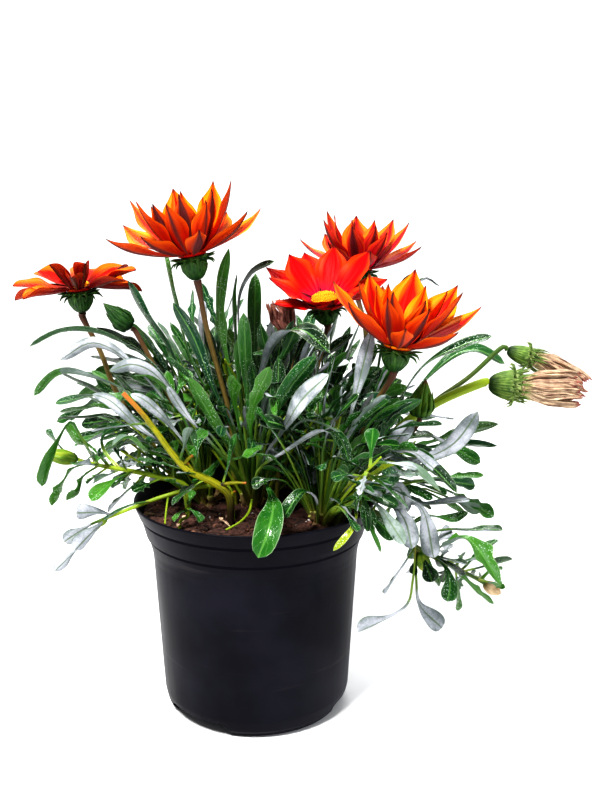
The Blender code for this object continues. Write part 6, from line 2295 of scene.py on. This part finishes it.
@dataclass(frozen=True)
class Pot:
    """Nursery pot: turned wall and floor, three feet with drain channels between them, drain holes."""

    inside: tuple[Pair, ...] = ((56.4, 11.5), (62.1, 102.0), (68.6, 123.5), (73.2, 133.2))
    outside: tuple[Pair, ...] = (
        (74.2, 134.0), (75.0, 133.2), (71.6, 124.7), (70.7, 123.9), (67.6, 112.2), (66.4, 111.2),
        (64.3, 103.0), (63.6, 98.0), (58.7, 11.0), (57.2, 4.4), (53.6, 0.0))
    sides: int = 192
    bearings: Triple = (-129.5, -9.5, 110.5)
    channel: Triple = (48.0, 34.0, 8.0)
    channel_start: float = 24.0
    channel_round: float = 5.0
    drain_radius: float = 4.0
    drain_distance: float = 41.0
    sharp: float = 28.0

    def cutter(self, work: bmesh.types.BMesh, turn: Matrix) -> bpy.types.Object:
        """Mesh object for a cut, turned to its bearing.

        Args:
            work: Mesh of the cut, which is freed.
            turn: Turn to its bearing.

        Returns:
            The object.
        """
        mesh = bpy.data.meshes.new("cutter")
        work.to_mesh(mesh)
        work.free()
        mesh.transform(turn)
        made = bpy.data.objects.new("cutter", mesh)
        bpy.context.scene.collection.objects.link(made)
        return made

    def cutters(self) -> list[bpy.types.Object]:
        """A channel with rounded upper edges and a drain hole, at each of the three bearings.

        Returns:
            The objects, two for each bearing.
        """
        wide, long, tall = self.channel
        made = []
        for bearing in self.bearings:
            turn = Matrix.Rotation(math.radians(bearing), 4, "Z")
            work = bmesh.new()
            bmesh.ops.create_cube(work, size=1.0)
            bmesh.ops.scale(work, vec=(long * MM * 2, wide * MM, tall * 2 * MM), verts=work.verts)
            bmesh.ops.translate(work, vec=((self.channel_start + long) * MM, 0, 0), verts=work.verts)
            upper = [e for e in work.edges if all(v.co.z > 0 for v in e.verts)]
            bmesh.ops.bevel(work, geom=upper, offset=self.channel_round * MM, segments=5, profile=0.5,
                            affect="EDGES")
            made.append(self.cutter(work, turn))
            work = bmesh.new()
            bmesh.ops.create_cone(work, cap_ends=True, segments=48, radius1=self.drain_radius * MM,
                                  radius2=self.drain_radius * MM, depth=30 * MM)
            bmesh.ops.translate(work, vec=(self.drain_distance * MM, 0, 8 * MM), verts=work.verts)
            made.append(self.cutter(work, turn))
        return made

    def build(self, bench: Bench) -> None:
        """Turns the wall, cuts the channels and holes, and keeps only the result.

        Args:
            bench: What it is made with.
        """
        profile = round_profile([(0.0, self.inside[0][1]), *self.inside, *self.outside, (0.0, 0.0)], 0.7)
        shape = Shape("pot_wall")
        shape.add(*turned_patch(profile, self.sides))
        made = shape.write([bench.wear["pot_plastic"]], self.sharp)
        tools = self.cutters()
        for tool in tools:
            cut = made.modifiers.new("cut", "BOOLEAN")
            cut.operation, cut.solver, cut.object = "DIFFERENCE", "EXACT", tool
        graph = bpy.context.evaluated_depsgraph_get()
        mesh = bpy.data.meshes.new_from_object(made.evaluated_get(graph))
        made.modifiers.clear()
        made.data = mesh
        mesh.set_sharp_from_angle(angle=math.radians(self.sharp))
        for tool in tools:
            bpy.data.objects.remove(tool)
        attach(made, "root")
        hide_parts("pot")


@dataclass(frozen=True)
class Soil:
    """Soil with low lumps on top, and the loose grit that lies on it; a share of it is larger clods."""

    reach: float = 66.0
    lump: float = 0.88
    fine_lump: float = 1.1
    grit_reach: float = 67.0
    grains: int = 620
    clods: float = 0.12
    clod: float = 1.7
    sides: int = 160

    def height(self, x: Array, y: Array) -> Array:
        """Height of the surface: the solids' lumps, with finer ones on them.

        Args:
            x: Distances to the right of the axis.
            y: Distances behind it.

        Returns:
            The height at each.
        """
        lump = np.sin(0.31 * x + 1.3) * np.cos(0.27 * y) + 0.6 * np.sin(0.53 * x - 0.47 * y)
        flat = np.stack([x.ravel(), y.ravel(), np.zeros(x.size)], 1)
        return SOIL_TOP + self.lump * lump + self.fine_lump * ripple(flat, 9.0, 21, 4).reshape(x.shape)

    def build(self, pot: Pot, bench: Bench) -> None:
        """Makes the body of the soil and its grit.

        Args:
            pot: The pot that it fills.
            bench: What it is made with.
        """
        radii, heights = zip(*pot.inside)
        edge = float(np.interp(SOIL_TOP - 2.0, heights, radii)) - GAP
        bottom = heights[0] + GAP
        away = np.concatenate([np.linspace(1.2, self.reach, 54), [edge - 0.6, edge]])
        bearing = np.linspace(0, FULL_TURN, self.sides, endpoint=False)
        x, y = away[:, None] * np.cos(bearing), away[:, None] * np.sin(bearing)
        z = self.height(x, y)
        z[-2:] = [[SOIL_TOP - 1.0], [SOIL_TOP - 2.0]]
        wall = [(r - GAP, h) for r, h in pot.inside[1:] if h < SOIL_TOP - 2][::-1]
        wall += [(radii[0] - GAP, bottom)]
        lower = np.array([[(r * math.cos(b), r * math.sin(b), h) for b in bearing] for r, h in wall])
        rings = np.concatenate([np.stack([x, y, z], -1), lower])
        ends = np.array([[0.0, 0.0, float(z[0].mean())], [0.0, 0.0, bottom]])
        body = Shape("soil_body")
        body.add(np.vstack([rings.reshape(-1, 3), ends]),
                 ring_faces(len(rings), self.sides, True, True, True))
        bench.present(body, "soil", "soil", "soil", angle=50.0)
        self.grit(bench)

    def grit(self, bench: Bench) -> None:
        """Scatters clods, bark and perlite: squashed balls of 20 faces, bent at random.

        Args:
            bench: What it is made with.
        """
        draw = np.random.default_rng(SEED)
        work = bmesh.new()
        bmesh.ops.create_icosphere(work, subdivisions=1, radius=1.0)
        ball = np.array([v.co for v in work.verts])
        faces = [tuple(v.index for v in f.verts) for f in work.faces]
        work.free()
        shape = Shape("soil_grit")
        for _ in range(self.grains):
            away, bearing = self.grit_reach * math.sqrt(draw.random()), draw.uniform(0, FULL_TURN)
            size = draw.uniform(0.6, 1.5) * (self.clod if draw.random() < self.clods else 1.0)
            bent = ball * draw.uniform(0.6, 1.25, (len(ball), 1)) * size * draw.uniform([0.7, 0.7, 0.4], 1.1)
            x, y = away * math.cos(bearing), away * math.sin(bearing)
            z = float(self.height(np.array([[x]]), np.array([[y]]))[0, 0])
            turn = np.array(Matrix.Rotation(draw.uniform(0, 6.3), 3, "Z"))
            shape.add(bent @ turn.T + np.array([x, y, z + 0.25 * size]), faces, tint=float(draw.random()))
        bench.present(shape, "grit", "soil", angle=20.0)


DROP_SIZES = (0.35, 1.0)
DROP_DOME = ((0, 0.62), (0.5, 0.52), (0.9, 0.2), (0.9, -0.1), (0, -0.12))


def add_dew(source: bpy.types.Object, count: int, bench: Bench) -> None:
    """Puts water drops on the upper faces of leaves: squashed domes that sink slightly into the blade.

    Args:
        source: The leaves they lie on.
        count: Number of drops.
        bench: What they are made with.
    """
    mesh = source.data
    middles, normals = np.zeros(len(mesh.polygons) * 3), np.zeros(len(mesh.polygons) * 3)
    mesh.polygons.foreach_get("center", middles)
    mesh.polygons.foreach_get("normal", normals)
    middles, normals = middles.reshape(-1, 3) / MM, normals.reshape(-1, 3)
    upward = np.flatnonzero((normals[:, 2] > 0.55) & (middles[:, 2] > POT_HEIGHT))
    draw = np.random.default_rng(len(mesh.polygons))
    shape = Shape(source.name + "_drops")
    for number in draw.choice(upward, min(count, len(upward)), replace=False):
        points, faces = turned_patch(np.array(DROP_DOME) * draw.uniform(*DROP_SIZES), 8)
        shape.add(placed(points, axis_frame(middles[number], normals[number])), faces)
    bench.present(shape, "water", "leaves")


@dataclass(frozen=True)
class Lamp:
    """Square area light that looks at the middle of the plant; all in metres and watts."""

    name: str
    spot: Triple
    size: float
    power: float
    colour: Colour
    aim: Triple = (0.02, 0.0, 0.16)

    def build(self) -> None:
        """Adds the light to the stage."""
        data = bpy.data.lights.new(self.name, "AREA")
        data.size, data.energy, data.color = self.size, self.power, self.colour
        made = bpy.data.objects.new(self.name, data)
        made.location = self.spot
        made.rotation_euler = (Vector(self.aim) - Vector(self.spot)).to_track_quat("-Z", "Y").to_euler()
        bpy.context.scene.collection.objects.link(made)
        made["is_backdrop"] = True


@dataclass(frozen=True)
class Studio:
    """Pale floor, a wall that is bright of itself, a pale world and three soft lights."""

    reach: float = 4000.0
    wall_behind: float = 1600.0
    wall_height: float = 3500.0
    pale: Colour = (0.90, 0.90, 0.91)
    sky: Colour = (0.97, 0.98, 1.0)
    sky_strength: float = 0.25
    lamps: tuple[Lamp, ...] = (Lamp("key", (-0.40, -0.62, 1.30), 0.30, 28.5, (1.0, 0.985, 0.96)),
                               Lamp("fill", (0.95, -0.60, 0.70), 0.6, 4.0, (0.94, 0.97, 1.0)),
                               Lamp("back", (0.2, 0.9, 1.2), 0.6, 8.0, (1.0, 1.0, 1.0)))

    def build(self) -> None:
        """Adds the floor, the wall, the world and the lights."""
        bearing = np.linspace(0, FULL_TURN, 96, endpoint=False)
        floor = np.stack([self.reach * np.cos(bearing), self.reach * np.sin(bearing), np.full(96, -0.2)], 1)
        self.sheet("studio_floor", floor, Finish("studio_floor").dress(self.pale, 0.45))
        wall = np.array([(x, self.wall_behind, z) for x, z in (
            (-self.reach, -10.0), (self.reach, -10.0), (self.reach, self.wall_height),
            (-self.reach, self.wall_height))])
        self.sheet("studio_backdrop", wall, Finish("studio_backdrop").dress(
            (0.0, 0.0, 0.0), 1.0, Emission_Color=(1.0, 1.0, 1.0), Emission_Strength=1.0))
        for lamp in self.lamps:
            lamp.build()
        world = bpy.data.worlds.new("world")
        world.use_nodes = True
        ground = world.node_tree.nodes["Background"]
        ground.inputs["Color"].default_value = (*self.sky, 1.0)
        ground.inputs["Strength"].default_value = self.sky_strength
        scene = bpy.context.scene
        scene.world = world
        scene.view_settings.view_transform = "Standard"
        scene.view_settings.look = "High Contrast"

    @staticmethod
    def sheet(name: str, corners: Array, finish: bpy.types.Material) -> None:
        """Adds one flat face to the stage.

        Args:
            name: Its name.
            corners: Its corners, in order.
            finish: Its material.
        """
        shape = Shape(name)
        shape.add(corners, [tuple(range(len(corners)))])
        made = shape.write([finish])
        made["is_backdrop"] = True


def main() -> None:
    """Builds everything in the order in which the solids are placed."""
    logging.basicConfig(level=logging.INFO, format="%(message)s")
    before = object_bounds()
    low, high = (np.array(corner) / MM for corner in before)
    bench = Bench({finish.name: finish.build() for finish in FINISHES})
    pot = Pot()
    pot.build(bench)
    Soil().build(pot, bench)
    for head in (*BLOOMS, *WITHERED, *BUDS):
        head.build(bench)
    placement = Placement(bench.room, low + INSET, high - INSET)
    placement.run()
    LOG.info("leaves: %s", {name: len(leaves) for name, leaves in placement.leaves.items()})
    for crown in CROWNS.values():
        crown.build(placement.leaves[crown.name], placement.shoots[crown.name], bench)
    for spray in SPRAYS.values():
        spray.build(placement.leaves[spray.name], bench)
    Litter().build(bench)
    Studio().build()
    CAMERA.build()


if __name__ == "__main__":
    main()
